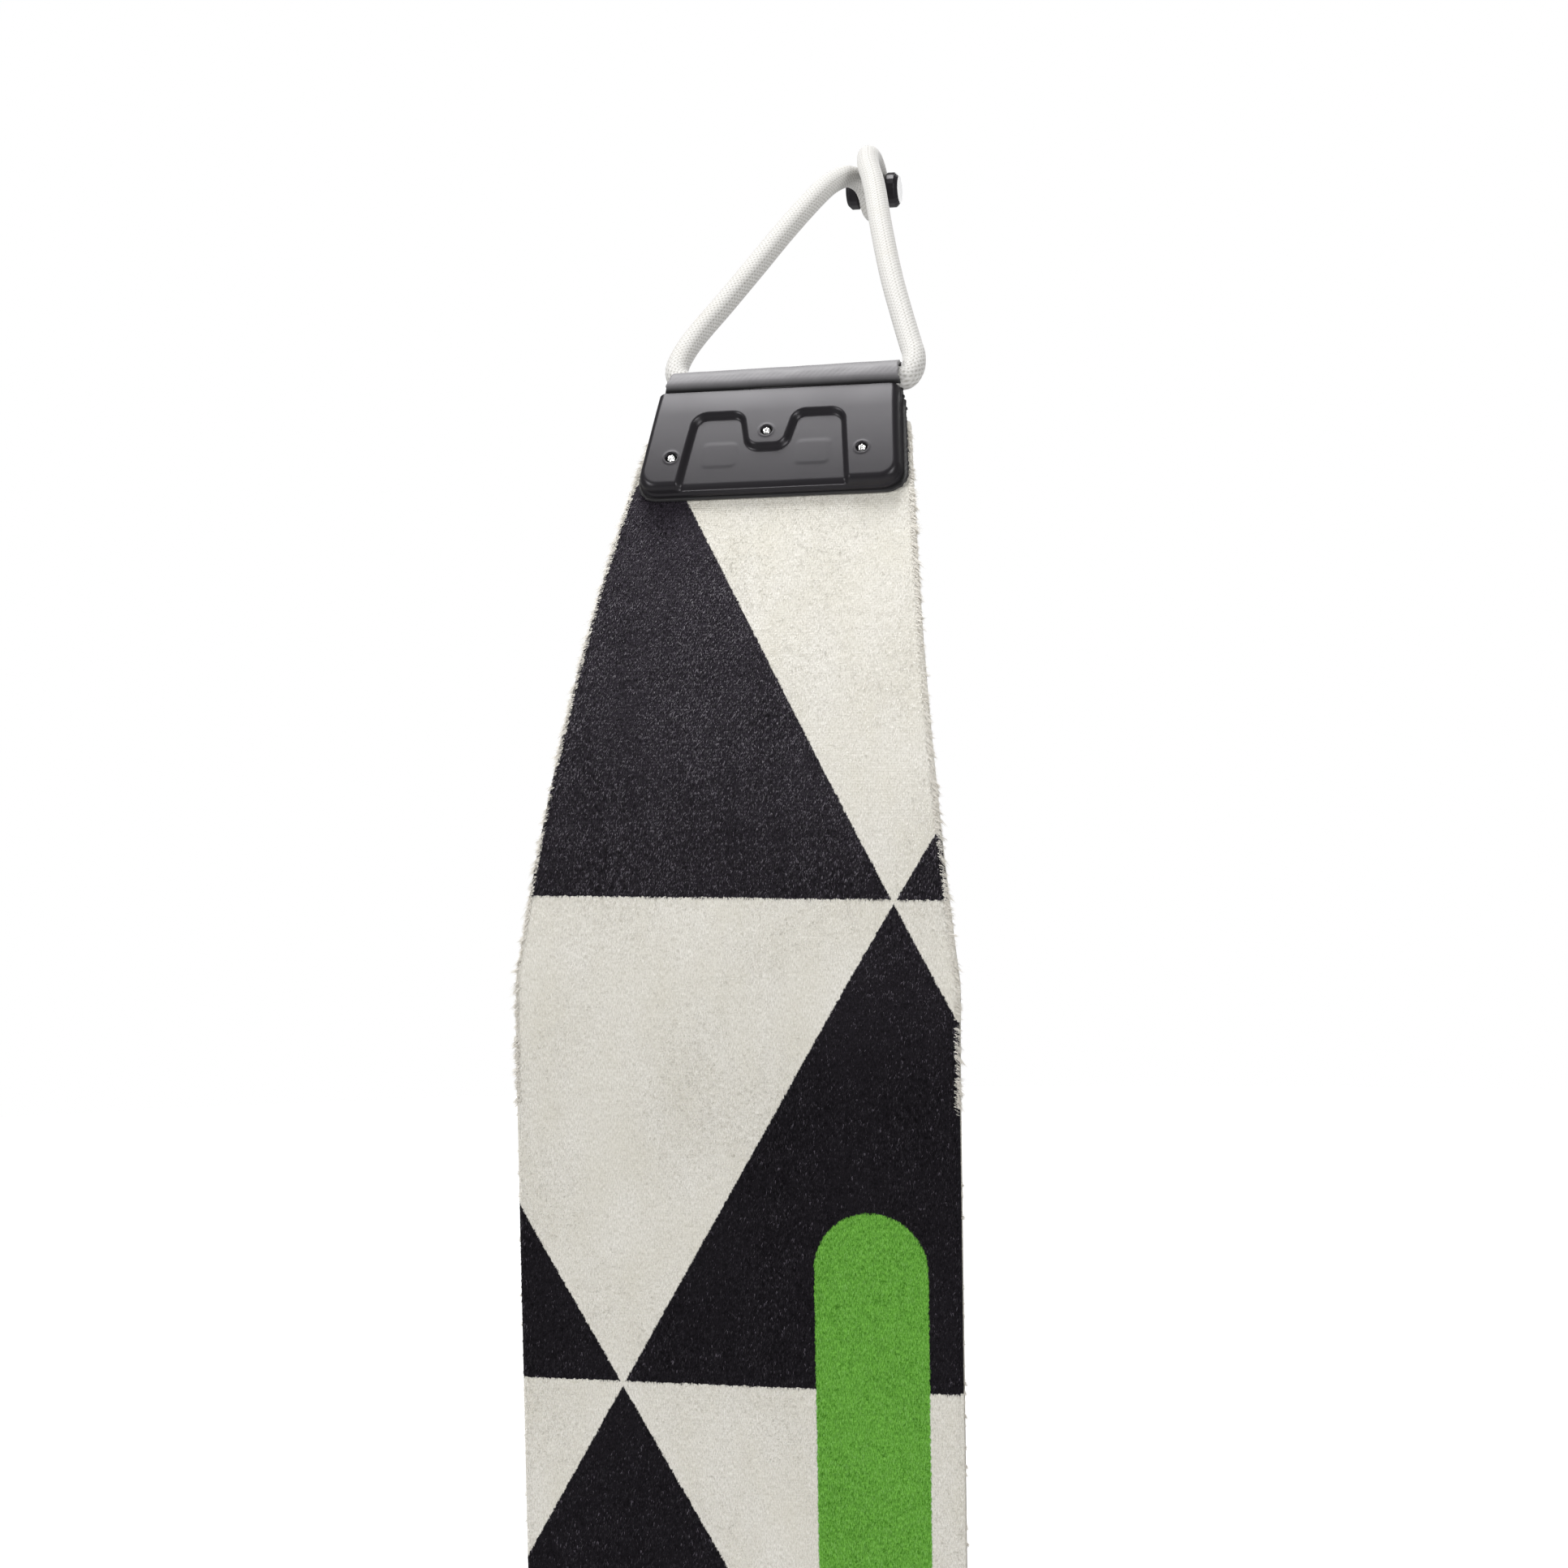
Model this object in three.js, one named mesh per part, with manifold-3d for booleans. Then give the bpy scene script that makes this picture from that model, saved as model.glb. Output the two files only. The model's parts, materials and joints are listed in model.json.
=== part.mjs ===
// One climbing skin for a touring ski: a plush strip with a glue side, a tip fitting with an
// elastic loop, and a tail strap with a cam buckle and a hook. Millimetres, +Z towards the ski's
// tip, plush facing -Y, glue facing +Y. The origin lies on the glue face, on the centre line.
import * as THREE from 'three';
import { mergeVertices } from 'three/addons/utils/BufferGeometryUtils.js';
import Module from 'manifold-3d';

const wasm = await Module();
wasm.setup();

// ---- driving dimensions ----------------------------------------------------------------------
const skin = {
  halfWidth: 55,
  taperStart: 77,
  taperSlope: 0.149,
  noseEnd: 224,
  foldZ: -690,
  foldGap: 1,
  tailStart: -1275,
  tailEnd: -1335,
  tailHalfWidth: 26,
};
// Offsets from the glue face, growing towards the plush.
const layers = {
  glue: [0, 0.4],
  backing: [0.6, 1.1],
  plush: [1.3, 2.9],
};
const bend = { start: 50, end: 204, radius: 240 };
// The whole tip fitting sits a little crooked on the strip, its right side higher.
const tipSkewDegrees = 2;
const plate = {
  bottom: -3,
  top: 28,
  bottomHalf: 34.3,
  topHalf: 31.3,
  back: -4.2,
  flangeFront: -5.4,
  front: -8.2,
};
// The cap's panel and its rivets sit to the left of the cap's own middle.
const panelCentre = -0.8;
const tipRivets = {
  left: [panelCentre - 24.3, 6.7],
  middle: [panelCentre - 0.3, 13.6],
  right: [panelCentre + 24.3, 6.7],
};
const tipRivet = { shank: 0.8, head: 1.1, headDepth: 0.6, front: -7.9, back: 2.3 };
const rivetPocket = { radius: 1.35, depth: 1.3 };
// The panel is an arch, open below, with a notch in its top for the middle rivet.
const panel = {
  foot: 23.2,
  shoulder: 19.6,
  notchMouth: 7.2,
  notchEnd: 4.4,
  bottom: -12,
  notchBottom: 10,
  top: 20.2,
};
const basePlate = { half: 28, bottom: 1, top: 24, corner: 4, back: 1.4 };
const leaf = {
  bottom: -3.9,
  top: 24.6,
  bottomLeft: -34.6,
  bottomRight: 35.3,
  topLeft: -31.8,
  topRight: 32.3,
};
const tunnel = { y: -4.55, z: 30.9, inner: 3.6, fabric: 0.7, left: -25.3, right: 29.7, backEnd: 21.6 };
const cord = { radius: 3, sides: 8, steps: 80 };
const ferrule = { half: 9, inner: 3.15, outer: 3.4 };
const toggle = { x: 8.5, y: 37.5, z: 129.3, waist: 2.2, flange: 4.8, waistHalf: 3.7, half: 7.2 };
const tail = {
  outerPlate: { half: 25, bottom: -1334, top: -1294, front: -5.4, back: -3.2 },
  innerPlate: { half: 22, bottom: -1331, top: -1296, front: 0.3, back: 1.1 },
  upperRivets: { x: 17, z: -1301 },
  lowerRivets: { x: 13.3, z: -1321 },
};
const tailRivet = { shank: 1.5, head: 2.4, headDepth: 1, back: 2.4 };
const buckle = {
  half: 17,
  bottom: -1368,
  top: -1310,
  front: -7.2,
  back: -5.7,
  earInner: 11,
  earOuter: 13.5,
  earBottom: -1362,
  earTop: -1336,
  earFront: -17,
};
const pin = { y: -13.2, z: -1347, radius: 1.5, head: 2.3, headDepth: 0.9 };
const lever = { half: 10.4, cam: 3.8, length: 24, thickness: 2.6 };
const strap = { half: 10, front: -9.1, back: -7.6, top: -1250, loopInner: 1.9, foldUp: 15 };
const hook = {
  z: -1392,
  wire: 1.5,
  half: 15,
  leg: 20,
  bendRadius: 6.5,
  upturn: 6,
  corner: 4,
  hang: 21,
};
const clearance = 0.3;

// ---- materials -------------------------------------------------------------------------------
const material = (color, roughness, metalness = 0) =>
  new THREE.MeshStandardMaterial({ color, roughness, metalness });
const charcoalPlush = material('#3b373e', 0.95);
const backingCloth = material('#c9c6bb', 0.9);
const glueFilm = material('#5b5347', 0.45);
const blackPlastic = material('#2b292c', 0.38);
const coatedCloth = material('#4a484c', 0.6);
const whiteCord = material('#f3f2ee', 0.85);
const steel = material('#b9bcc0', 0.3, 1);
const greyWebbing = material('#2f2e31', 0.85);

// ---- helpers ---------------------------------------------------------------------------------
function toSolid(geometry) {
  const bare = geometry.clone();
  bare.deleteAttribute('normal');
  bare.deleteAttribute('uv');
  const merged = mergeVertices(bare, 1e-4);
  return new wasm.Manifold(new wasm.Mesh({
    numProp: 3,
    vertProperties: Float32Array.from(merged.attributes.position.array),
    triVerts: Uint32Array.from(merged.index.array),
  }));
}

function toGeometry(solid) {
  const mesh = solid.getMesh();
  const geometry = new THREE.BufferGeometry();
  const points = new Float32Array(mesh.numVert * 3);
  for (let i = 0; i < mesh.numVert; i++) {
    for (let axis = 0; axis < 3; axis++) {
      points[3 * i + axis] = mesh.vertProperties[mesh.numProp * i + axis];
    }
  }
  geometry.setAttribute('position', new THREE.BufferAttribute(points, 3));
  geometry.setIndex(Array.from(mesh.triVerts));
  geometry.computeVertexNormals();
  return geometry;
}

function named(name, geometry, look) {
  const mesh = new THREE.Mesh(geometry, look);
  mesh.name = name;
  return mesh;
}

// A closed outline with rounded corners; each corner is [x, z, radius].
function roundedShape(corners) {
  const shape = new THREE.Shape();
  const count = corners.length;
  corners.forEach(([x, z, radius], i) => {
    const here = new THREE.Vector2(x, z);
    const before = new THREE.Vector2(...corners[(i + count - 1) % count].slice(0, 2));
    const after = new THREE.Vector2(...corners[(i + 1) % count].slice(0, 2));
    const from = here.clone().add(before.sub(here).setLength(radius));
    const to = here.clone().add(after.sub(here).setLength(radius));
    if (i === 0) {
      shape.moveTo(from.x, from.y);
    } else {
      shape.lineTo(from.x, from.y);
    }
    if (radius > 0) {
      shape.quadraticCurveTo(x, z, to.x, to.y);
    }
  });
  shape.closePath();
  return shape;
}

const roundedBox = (half, bottom, top, radius) =>
  roundedShape([
    [-half, bottom, radius],
    [half, bottom, radius],
    [half, top, radius],
    [-half, top, radius],
  ]);

// A shape drawn in x and z, thick from y = back to y = front (front is the smaller one).
function slab(shape, back, front, bevel = 0) {
  const geometry = new THREE.ExtrudeGeometry(shape, {
    depth: back - front - 2 * bevel,
    bevelEnabled: bevel > 0,
    bevelThickness: bevel,
    bevelSize: bevel,
    bevelOffset: -bevel,
    bevelSegments: 3,
    curveSegments: 5,
  });
  geometry.rotateX(Math.PI / 2);
  geometry.translate(0, back - bevel, 0);
  return geometry;
}

// A shape drawn in y and z, running from x = left to x = right.
function beam(shape, left, right) {
  const geometry = new THREE.ExtrudeGeometry(shape, {
    depth: right - left,
    bevelEnabled: false,
    curveSegments: 12,
  });
  const turn = new THREE.Matrix4().makeBasis(
    new THREE.Vector3(0, 1, 0),
    new THREE.Vector3(0, 0, 1),
    new THREE.Vector3(1, 0, 0),
  );
  geometry.applyMatrix4(turn);
  geometry.translate(left, 0, 0);
  return geometry;
}

// A ribbon of even thickness along a route of [y, z] points, as an outline.
function ribbonShape(route, thickness) {
  const sideways = route.map((point, i) => {
    const before = new THREE.Vector2(...route[Math.max(i - 1, 0)]);
    const after = new THREE.Vector2(...route[Math.min(i + 1, route.length - 1)]);
    const along = after.sub(before).normalize();
    return new THREE.Vector2(-along.y, along.x).multiplyScalar(thickness / 2);
  });
  const one = route.map(([y, z], i) => new THREE.Vector2(y + sideways[i].x, z + sideways[i].y));
  const other = route.map(([y, z], i) => new THREE.Vector2(y - sideways[i].x, z - sideways[i].y));
  const outline = [...one, ...other.reverse()];
  if (THREE.ShapeUtils.area(outline) < 0) {
    outline.reverse();
  }
  return new THREE.Shape(outline);
}

function arcPoints(y, z, radius, fromDegrees, toDegrees, count) {
  return Array.from({ length: count + 1 }, (_, i) => {
    const angle = THREE.MathUtils.degToRad(fromDegrees + (toDegrees - fromDegrees) * i / count);
    return [y + radius * Math.cos(angle), z + radius * Math.sin(angle)];
  });
}

// A rivet along y: heads at both ends of a thinner shank.
function rivetGeometry(size, front, back) {
  const profile = [
    [0, front],
    [size.head, front],
    [size.head, front + size.headDepth],
    [size.shank, front + size.headDepth],
    [size.shank, back - size.headDepth],
    [size.head, back - size.headDepth],
    [size.head, back],
    [0, back],
  ].map(([r, y]) => new THREE.Vector2(r, y));
  return new THREE.LatheGeometry(profile, 16);
}

// A round hole along y for a rivet at [x, z].
function drill([x, z], radius, back = 20, front = -20) {
  const cylinder = new THREE.CylinderGeometry(radius, radius, back - front, 20);
  cylinder.translate(x, (back + front) / 2, z);
  return toSolid(cylinder);
}

function drilled(solid, places, radius) {
  return places.reduce((left, place) => left.subtract(drill(place, radius)), solid);
}

// ---- the tip fitting's own frame: tilted with the end of the nose's curve, and skewed ------------
const noseAngle = (bend.end - bend.start) / bend.radius;
const nosePlace = new THREE.Vector3(
  0,
  bend.radius * (1 - Math.cos(noseAngle)),
  bend.start + bend.radius * Math.sin(noseAngle),
);
function noseGroup() {
  const group = new THREE.Group();
  group.position.copy(nosePlace);
  group.rotation.set(-noseAngle, -THREE.MathUtils.degToRad(tipSkewDegrees), 0);
  return group;
}

// ---- the strip: three layers, each in a front and a rear half ------------------------------------
// A point at x, at u along the strip (u equals z on the flat part), at an offset off the glue face.
function onStrip(x, u, offset) {
  const angle = THREE.MathUtils.clamp((u - bend.start) / bend.radius, 0, noseAngle);
  const beyond = Math.max(u - bend.end, 0);
  const reach = bend.radius + offset;
  if (u <= bend.start) {
    return [x, -offset, u];
  }
  return [
    x,
    bend.radius - reach * Math.cos(angle) + beyond * Math.sin(angle),
    bend.start + reach * Math.sin(angle) + beyond * Math.cos(angle),
  ];
}

// A layer as rings of four corners, one ring at each [u, half width] station, u growing.
function layerGeometry(stations, [near, far]) {
  const points = stations.flatMap(([u, half]) => [
    ...onStrip(-half, u, near),
    ...onStrip(half, u, near),
    ...onStrip(half, u, far),
    ...onStrip(-half, u, far),
  ]);
  const index = [0, 1, 2, 0, 2, 3];
  for (let ring = 0; ring < stations.length - 1; ring++) {
    for (let side = 0; side < 4; side++) {
      const a = 4 * ring + side;
      const b = 4 * ring + (side + 1) % 4;
      index.push(a, a + 4, b + 4, a, b + 4, b);
    }
  }
  const last = 4 * (stations.length - 1);
  index.push(last, last + 3, last + 2, last, last + 2, last + 1);
  const geometry = new THREE.BufferGeometry();
  geometry.setAttribute('position', new THREE.BufferAttribute(new Float32Array(points), 3));
  geometry.setIndex(index);
  geometry.computeVertexNormals();
  return geometry;
}

const noseHalfWidth = (u) =>
  skin.halfWidth - skin.taperSlope * Math.max(u - skin.taperStart, 0);

function frontStations() {
  const stations = [[skin.foldZ + skin.foldGap / 2, skin.halfWidth]];
  const count = 18;
  for (let i = 0; i <= count; i++) {
    const u = bend.start + (bend.end - bend.start) * i / count;
    stations.push([u, noseHalfWidth(u)]);
  }
  stations.push([skin.noseEnd, noseHalfWidth(skin.noseEnd)]);
  return stations;
}

function rearStations() {
  const stations = [];
  const count = 12;
  for (let i = 0; i <= count; i++) {
    const turn = (Math.PI / 2) * i / count;
    const rise = (skin.tailStart - skin.tailEnd) * (1 - Math.cos(turn));
    const spread = (skin.halfWidth - skin.tailHalfWidth) * Math.sin(turn);
    stations.push([skin.tailEnd + rise, skin.tailHalfWidth + spread]);
  }
  stations.push([skin.foldZ - skin.foldGap / 2, skin.halfWidth]);
  return stations;
}

function inNoseFrame(solid) {
  const degrees = THREE.MathUtils.radToDeg(noseAngle);
  const moved = solid.translate([0, -nosePlace.y, -nosePlace.z]);
  return moved.rotate([degrees, 0, 0]).rotate([0, tipSkewDegrees, 0]);
}

function outOfNoseFrame(solid) {
  const degrees = THREE.MathUtils.radToDeg(noseAngle);
  const turned = solid.rotate([0, -tipSkewDegrees, 0]).rotate([-degrees, 0, 0]);
  return turned.translate([0, nosePlace.y, nosePlace.z]);
}

function frontLayer(name, layer, look) {
  const whole = inNoseFrame(toSolid(layerGeometry(frontStations(), layer)));
  const pierced = drilled(whole, Object.values(tipRivets), tipRivet.shank + clearance);
  return named(name, toGeometry(outOfNoseFrame(pierced)), look);
}

const { upperRivets, lowerRivets } = tail;
const tailRivetPlaces = {
  upper_left: [-upperRivets.x, upperRivets.z],
  upper_right: [upperRivets.x, upperRivets.z],
  lower_left: [-lowerRivets.x, lowerRivets.z],
  lower_right: [lowerRivets.x, lowerRivets.z],
};

function rearLayer(name, layer, look) {
  const whole = toSolid(layerGeometry(rearStations(), layer));
  const holes = Object.values(tailRivetPlaces);
  return named(name, toGeometry(drilled(whole, holes, tailRivet.shank + clearance)), look);
}

function strip() {
  const group = new THREE.Group();
  group.add(frontLayer('plush_front', layers.plush, charcoalPlush));
  group.add(frontLayer('backing_front', layers.backing, backingCloth));
  group.add(frontLayer('glue_front', layers.glue, glueFilm));
  group.add(rearLayer('plush_rear', layers.plush, charcoalPlush));
  group.add(rearLayer('backing_rear', layers.backing, backingCloth));
  group.add(rearLayer('glue_rear', layers.glue, glueFilm));
  return group;
}

// ---- tip fitting ---------------------------------------------------------------------------------
function capOutline(inset) {
  return roundedShape([
    [-plate.bottomHalf + inset, plate.bottom + inset, 6],
    [plate.bottomHalf - inset, plate.bottom + inset, 6],
    [plate.topHalf - inset, plate.top - inset, 3],
    [-plate.topHalf + inset, plate.top - inset, 3],
  ]);
}

// A thin flange with a thicker, round-shouldered body on it, and a panel sunk into the body that
// is open below and goes round the middle rivet.
function tipCap() {
  const flange = toSolid(slab(capOutline(0), plate.back, plate.flangeFront));
  const shoulder = { width: 1.5, depth: 2 };
  const body = new THREE.ExtrudeGeometry(capOutline(0.3), {
    depth: plate.back - plate.front - shoulder.depth,
    bevelEnabled: true,
    bevelThickness: shoulder.depth,
    bevelSize: shoulder.width,
    bevelOffset: -shoulder.width,
    bevelSegments: 4,
    curveSegments: 5,
  });
  body.rotateX(Math.PI / 2);
  body.translate(0, plate.back, 0);
  let solid = toSolid(body).trimByPlane([0, -1, 0], -plate.back).add(flange);
  const panelShape = roundedShape([
    [-panel.foot, panel.bottom, 4],
    [panel.foot, panel.bottom, 4],
    [panel.shoulder, panel.top, 5],
    [panel.notchMouth, panel.top, 3.4],
    [panel.notchEnd, panel.notchBottom, 2.2],
    [-panel.notchEnd, panel.notchBottom, 2.2],
    [-panel.notchMouth, panel.top, 3.4],
    [-panel.shoulder, panel.top, 5],
  ]);
  const wall = { depth: 1.5, width: 1.6 };
  const cutter = new THREE.ExtrudeGeometry(panelShape, {
    depth: plate.flangeFront - plate.front,
    bevelEnabled: true,
    bevelThickness: wall.depth,
    bevelSize: wall.width,
    bevelOffset: -wall.width,
    bevelSegments: 1,
    curveSegments: 5,
  });
  cutter.rotateX(Math.PI / 2);
  cutter.translate(panelCentre, plate.front, 0);
  solid = solid.subtract(toSolid(cutter));
  // Two faint raised fields on the panel's floor.
  const floorY = plate.front + wall.depth;
  const field = { offset: 11.95, half: 4.2, bottom: 4, top: 11.2, relief: 0.15, root: 0.3 };
  for (const side of [-1, 1]) {
    const outline = roundedBox(field.half, field.bottom, field.top, 1);
    const block = slab(outline, floorY + field.root, floorY - field.relief);
    block.translate(panelCentre + side * field.offset, 0, 0);
    solid = solid.add(toSolid(block));
  }
  // The top edge is hollowed behind, to fit over the sleeve's roll.
  const roll = new THREE.Shape();
  roll.absarc(tunnel.y, tunnel.z, tunnel.inner + tunnel.fabric + 0.1, 0, 2 * Math.PI);
  solid = solid.subtract(toSolid(beam(roll, -plate.bottomHalf, plate.bottomHalf)));
  const places = Object.values(tipRivets);
  solid = drilled(solid, places, tipRivet.shank + clearance);
  for (const place of places) {
    solid = solid.subtract(drill(place, rivetPocket.radius, plate.front + rivetPocket.depth));
  }
  return named('tip_cap', toGeometry(solid), blackPlastic);
}

function tipSleeve() {
  const middle = tunnel.inner + tunnel.fabric / 2;
  const leafY = -layers.plush[1] - clearance - tunnel.fabric / 2;
  const route = [
    [tunnel.y + middle, tunnel.backEnd],
    ...arcPoints(tunnel.y, tunnel.z, middle, 0, 285, 20),
    [leafY, 25.7],
    [leafY, 20],
  ];
  const tube = toSolid(beam(ribbonShape(route, tunnel.fabric), tunnel.left, tunnel.right));
  const flatPart = slab(
    roundedShape([
      [leaf.bottomLeft, leaf.bottom, 5],
      [leaf.bottomRight, leaf.bottom, 5],
      [leaf.topRight, leaf.top, 2],
      [leaf.topLeft, leaf.top, 2],
    ]),
    leafY + tunnel.fabric / 2,
    leafY - tunnel.fabric / 2,
  );
  const whole = tube.add(toSolid(flatPart));
  const pierced = drilled(whole, Object.values(tipRivets), tipRivet.shank + clearance);
  return named('tip_sleeve', toGeometry(pierced), coatedCloth);
}

function tipBasePlate() {
  const { half, bottom, top, corner, back } = basePlate;
  const outline = slab(roundedBox(half, bottom, top, corner), back, clearance);
  outline.translate(panelCentre, 0, 0);
  const blank = toSolid(outline);
  const pierced = drilled(blank, Object.values(tipRivets), tipRivet.shank + clearance);
  return named('tip_base_plate', toGeometry(pierced), steel);
}

function tipRivetMesh(side) {
  const [x, z] = tipRivets[side];
  const mesh = named(
    `tip_rivet_${side}`,
    rivetGeometry(tipRivet, tipRivet.front, tipRivet.back),
    steel,
  );
  mesh.position.set(x, 0, z);
  return mesh;
}

// The elastic loop: out of the right mouth, over the ski tip's notch, round the toggle, and back
// under itself to the left mouth. Both ends meet in the ferrule.
const cordRoute = [
  [0.4, -4.55, 30.9],
  [15.1, -4.55, 30.9],
  [29.1, -4.55, 30.9],
  [32.3, -4.5, 31.1],
  [33.7, -4.2, 34.2],
  [33.4, -3.2, 38.9],
  [31.9, -1.9, 43.9],
  [28.5, 0.2, 55],
  [24, 3.2, 70.4],
  [18.9, 8.5, 90.6],
  [13.9, 15.5, 112],
  [10.5, 20.4, 123.5],
  [9, 25.2, 131.2],
  [8.7, 31.2, 134.7],
  [8.7, 37.5, 135.1],
  [8.7, 41.6, 133.4],
  [8.5, 43.3, 129.3],
  [8.4, 41.6, 125.2],
  [8.3, 37.5, 123.5],
  [8.2, 33, 124.2],
  [7, 28.9, 125],
  [4.1, 24.4, 123.7],
  [1.1, 19.4, 117.6],
  [-1.8, 14.4, 108.3],
  [-7.3, 8.9, 92.9],
  [-13.2, 4.5, 77.1],
  [-19.5, 1.3, 62.4],
  [-24.8, -1, 50.9],
  [-27.9, -3, 42.8],
  [-29.2, -4.2, 36.6],
  [-28.1, -4.5, 33.3],
  [-24.9, -4.55, 30.9],
  [-11.9, -4.55, 30.9],
  [-0.4, -4.55, 30.9],
];

function tipCord() {
  const path = new THREE.CatmullRomCurve3(cordRoute.map((point) => new THREE.Vector3(...point)));
  const section = new THREE.Shape(
    Array.from({ length: cord.sides }, (_, i) => {
      const angle = 2 * Math.PI * i / cord.sides;
      return new THREE.Vector2(cord.radius * Math.cos(angle), cord.radius * Math.sin(angle));
    }),
  );
  const geometry = new THREE.ExtrudeGeometry(section, {
    steps: cord.steps,
    extrudePath: path,
    bevelEnabled: false,
  });
  return named('tip_cord', geometry, whiteCord);
}

function cordFerrule() {
  const { half, inner, outer } = ferrule;
  const profile = [
    [inner, -half],
    [outer, -half],
    [outer, half],
    [inner, half],
    [inner, -half],
  ].map(([r, y]) => new THREE.Vector2(r, y));
  const geometry = new THREE.LatheGeometry(profile, 24);
  geometry.rotateZ(Math.PI / 2);
  const mesh = named('cord_ferrule', geometry, steel);
  mesh.position.set(0, tunnel.y, tunnel.z);
  return mesh;
}

function notchToggle() {
  const { waist, flange, waistHalf, half } = toggle;
  const round = 1;
  const profile = [
    [0, -half],
    [flange - round, -half],
    [flange, -half + round],
    [flange, -waistHalf - round / 2],
    [flange - round / 2, -waistHalf],
    [waist, -waistHalf],
    [waist, waistHalf],
    [flange - round / 2, waistHalf],
    [flange, waistHalf + round / 2],
    [flange, half - round],
    [flange - round, half],
    [0, half],
  ].map(([r, y]) => new THREE.Vector2(r, y));
  const geometry = new THREE.LatheGeometry(profile, 20);
  geometry.rotateZ(Math.PI / 2);
  const mesh = named('notch_toggle', geometry, blackPlastic);
  mesh.position.set(toggle.x, toggle.y, toggle.z);
  return mesh;
}

function tipFitting() {
  const group = noseGroup();
  group.add(tipCap(), tipSleeve(), tipBasePlate());
  for (const side of Object.keys(tipRivets)) {
    group.add(tipRivetMesh(side));
  }
  group.add(tipCord(), cordFerrule(), notchToggle());
  return group;
}

// ---- tail kit ------------------------------------------------------------------------------------
function tailPlate(name, size, look) {
  const outline = roundedBox(size.half, size.bottom, size.top, 6);
  const blank = toSolid(slab(outline, size.back, size.front));
  const holes = Object.values(tailRivetPlaces);
  return named(name, toGeometry(drilled(blank, holes, tailRivet.shank + clearance)), look);
}

function tailRivetMesh(place) {
  const [x, z] = tailRivetPlaces[place];
  const onTopOf = place.startsWith('lower') ? buckle.front : tail.outerPlate.front;
  const front = onTopOf - clearance - tailRivet.headDepth;
  const mesh = named(`tail_rivet_${place}`, rivetGeometry(tailRivet, front, tailRivet.back), steel);
  mesh.position.set(x, 0, z);
  return mesh;
}

function buckleFrame() {
  let solid = toSolid(
    slab(roundedBox(buckle.half, buckle.bottom, buckle.top, 4), buckle.back, buckle.front),
  );
  const ear = roundedShape([
    [buckle.front + 0.5, buckle.earBottom, 0],
    [buckle.front + 0.5, buckle.earTop, 0],
    [buckle.earFront, buckle.earTop - 6, 3],
    [buckle.earFront, buckle.earBottom + 8, 3],
  ]);
  solid = solid.add(toSolid(beam(ear, buckle.earInner, buckle.earOuter)));
  solid = solid.add(toSolid(beam(ear, -buckle.earOuter, -buckle.earInner)));
  const bore = new THREE.CylinderGeometry(
    pin.radius + clearance,
    pin.radius + clearance,
    4 * buckle.earOuter,
    20,
  );
  bore.rotateZ(Math.PI / 2);
  bore.translate(0, pin.y, pin.z);
  const holes = Object.values(tailRivetPlaces);
  solid = drilled(solid.subtract(toSolid(bore)), holes, tailRivet.shank + clearance);
  return named('buckle_frame', toGeometry(solid), blackPlastic);
}

function leverPin() {
  const headStart = buckle.earOuter + clearance;
  const half = headStart + pin.headDepth;
  const profile = [
    [0, -half],
    [pin.head, -half],
    [pin.head, -headStart],
    [pin.radius, -headStart],
    [pin.radius, headStart],
    [pin.head, headStart],
    [pin.head, half],
    [0, half],
  ].map(([r, y]) => new THREE.Vector2(r, y));
  const geometry = new THREE.LatheGeometry(profile, 16);
  geometry.rotateZ(Math.PI / 2);
  const mesh = named('lever_pin', geometry, steel);
  mesh.position.set(0, pin.y, pin.z);
  return mesh;
}

// The lever hangs down from its pin; its round head is the cam.
function camLever() {
  const head = new THREE.CylinderGeometry(lever.cam, lever.cam, 2 * lever.half, 24);
  head.rotateZ(Math.PI / 2);
  const inner = -lever.cam + 2 + lever.thickness;
  const tip = -lever.length;
  const handle = beam(
    roundedShape([
      [inner - lever.thickness, 0, 0],
      [inner - lever.thickness, tip + 5, 2],
      [-lever.thickness - 2, tip, 0.8],
      [-2, tip, 0.8],
      [inner, tip + 6, 2],
      [inner, 0, 0],
    ]),
    -lever.half,
    lever.half,
  );
  const bore = new THREE.CylinderGeometry(
    pin.radius + clearance,
    pin.radius + clearance,
    4 * lever.half,
    20,
  );
  bore.rotateZ(Math.PI / 2);
  const solid = toSolid(head).add(toSolid(handle)).subtract(toSolid(bore));
  const mesh = named('cam_lever', toGeometry(solid), blackPlastic);
  mesh.position.set(0, pin.y, pin.z);
  return mesh;
}

const strapThickness = strap.back - strap.front;
const strapMiddle = (strap.back + strap.front) / 2;
const loopRadius = strap.loopInner + strapThickness / 2;
const hookPlace = new THREE.Vector3(0, strapMiddle + loopRadius, hook.z);

function tailStrap() {
  const route = [
    [strapMiddle, strap.top],
    ...arcPoints(hookPlace.y, hookPlace.z, loopRadius, 180, 360, 14),
    [hookPlace.y + loopRadius, hookPlace.z + strap.foldUp],
  ];
  const geometry = beam(ribbonShape(route, strapThickness), -strap.half, strap.half);
  return named('tail_strap', geometry, greyWebbing);
}

// The pull tab grips the strap's free end from both sides.
function strapTab() {
  const tabHalf = 13;
  const shell = toSolid(
    slab(roundedBox(tabHalf, strap.top - 8, strap.top + 8, 4), strap.back + 1.6, strap.front - 1.6, 0.6),
  );
  const pocket = toSolid(
    slab(
      roundedBox(strap.half + clearance, strap.top - 20, strap.top + clearance, 0.5),
      strap.back + clearance,
      strap.front - clearance,
    ),
  );
  return named('strap_tab', toGeometry(shell.subtract(pocket)), blackPlastic);
}

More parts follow.
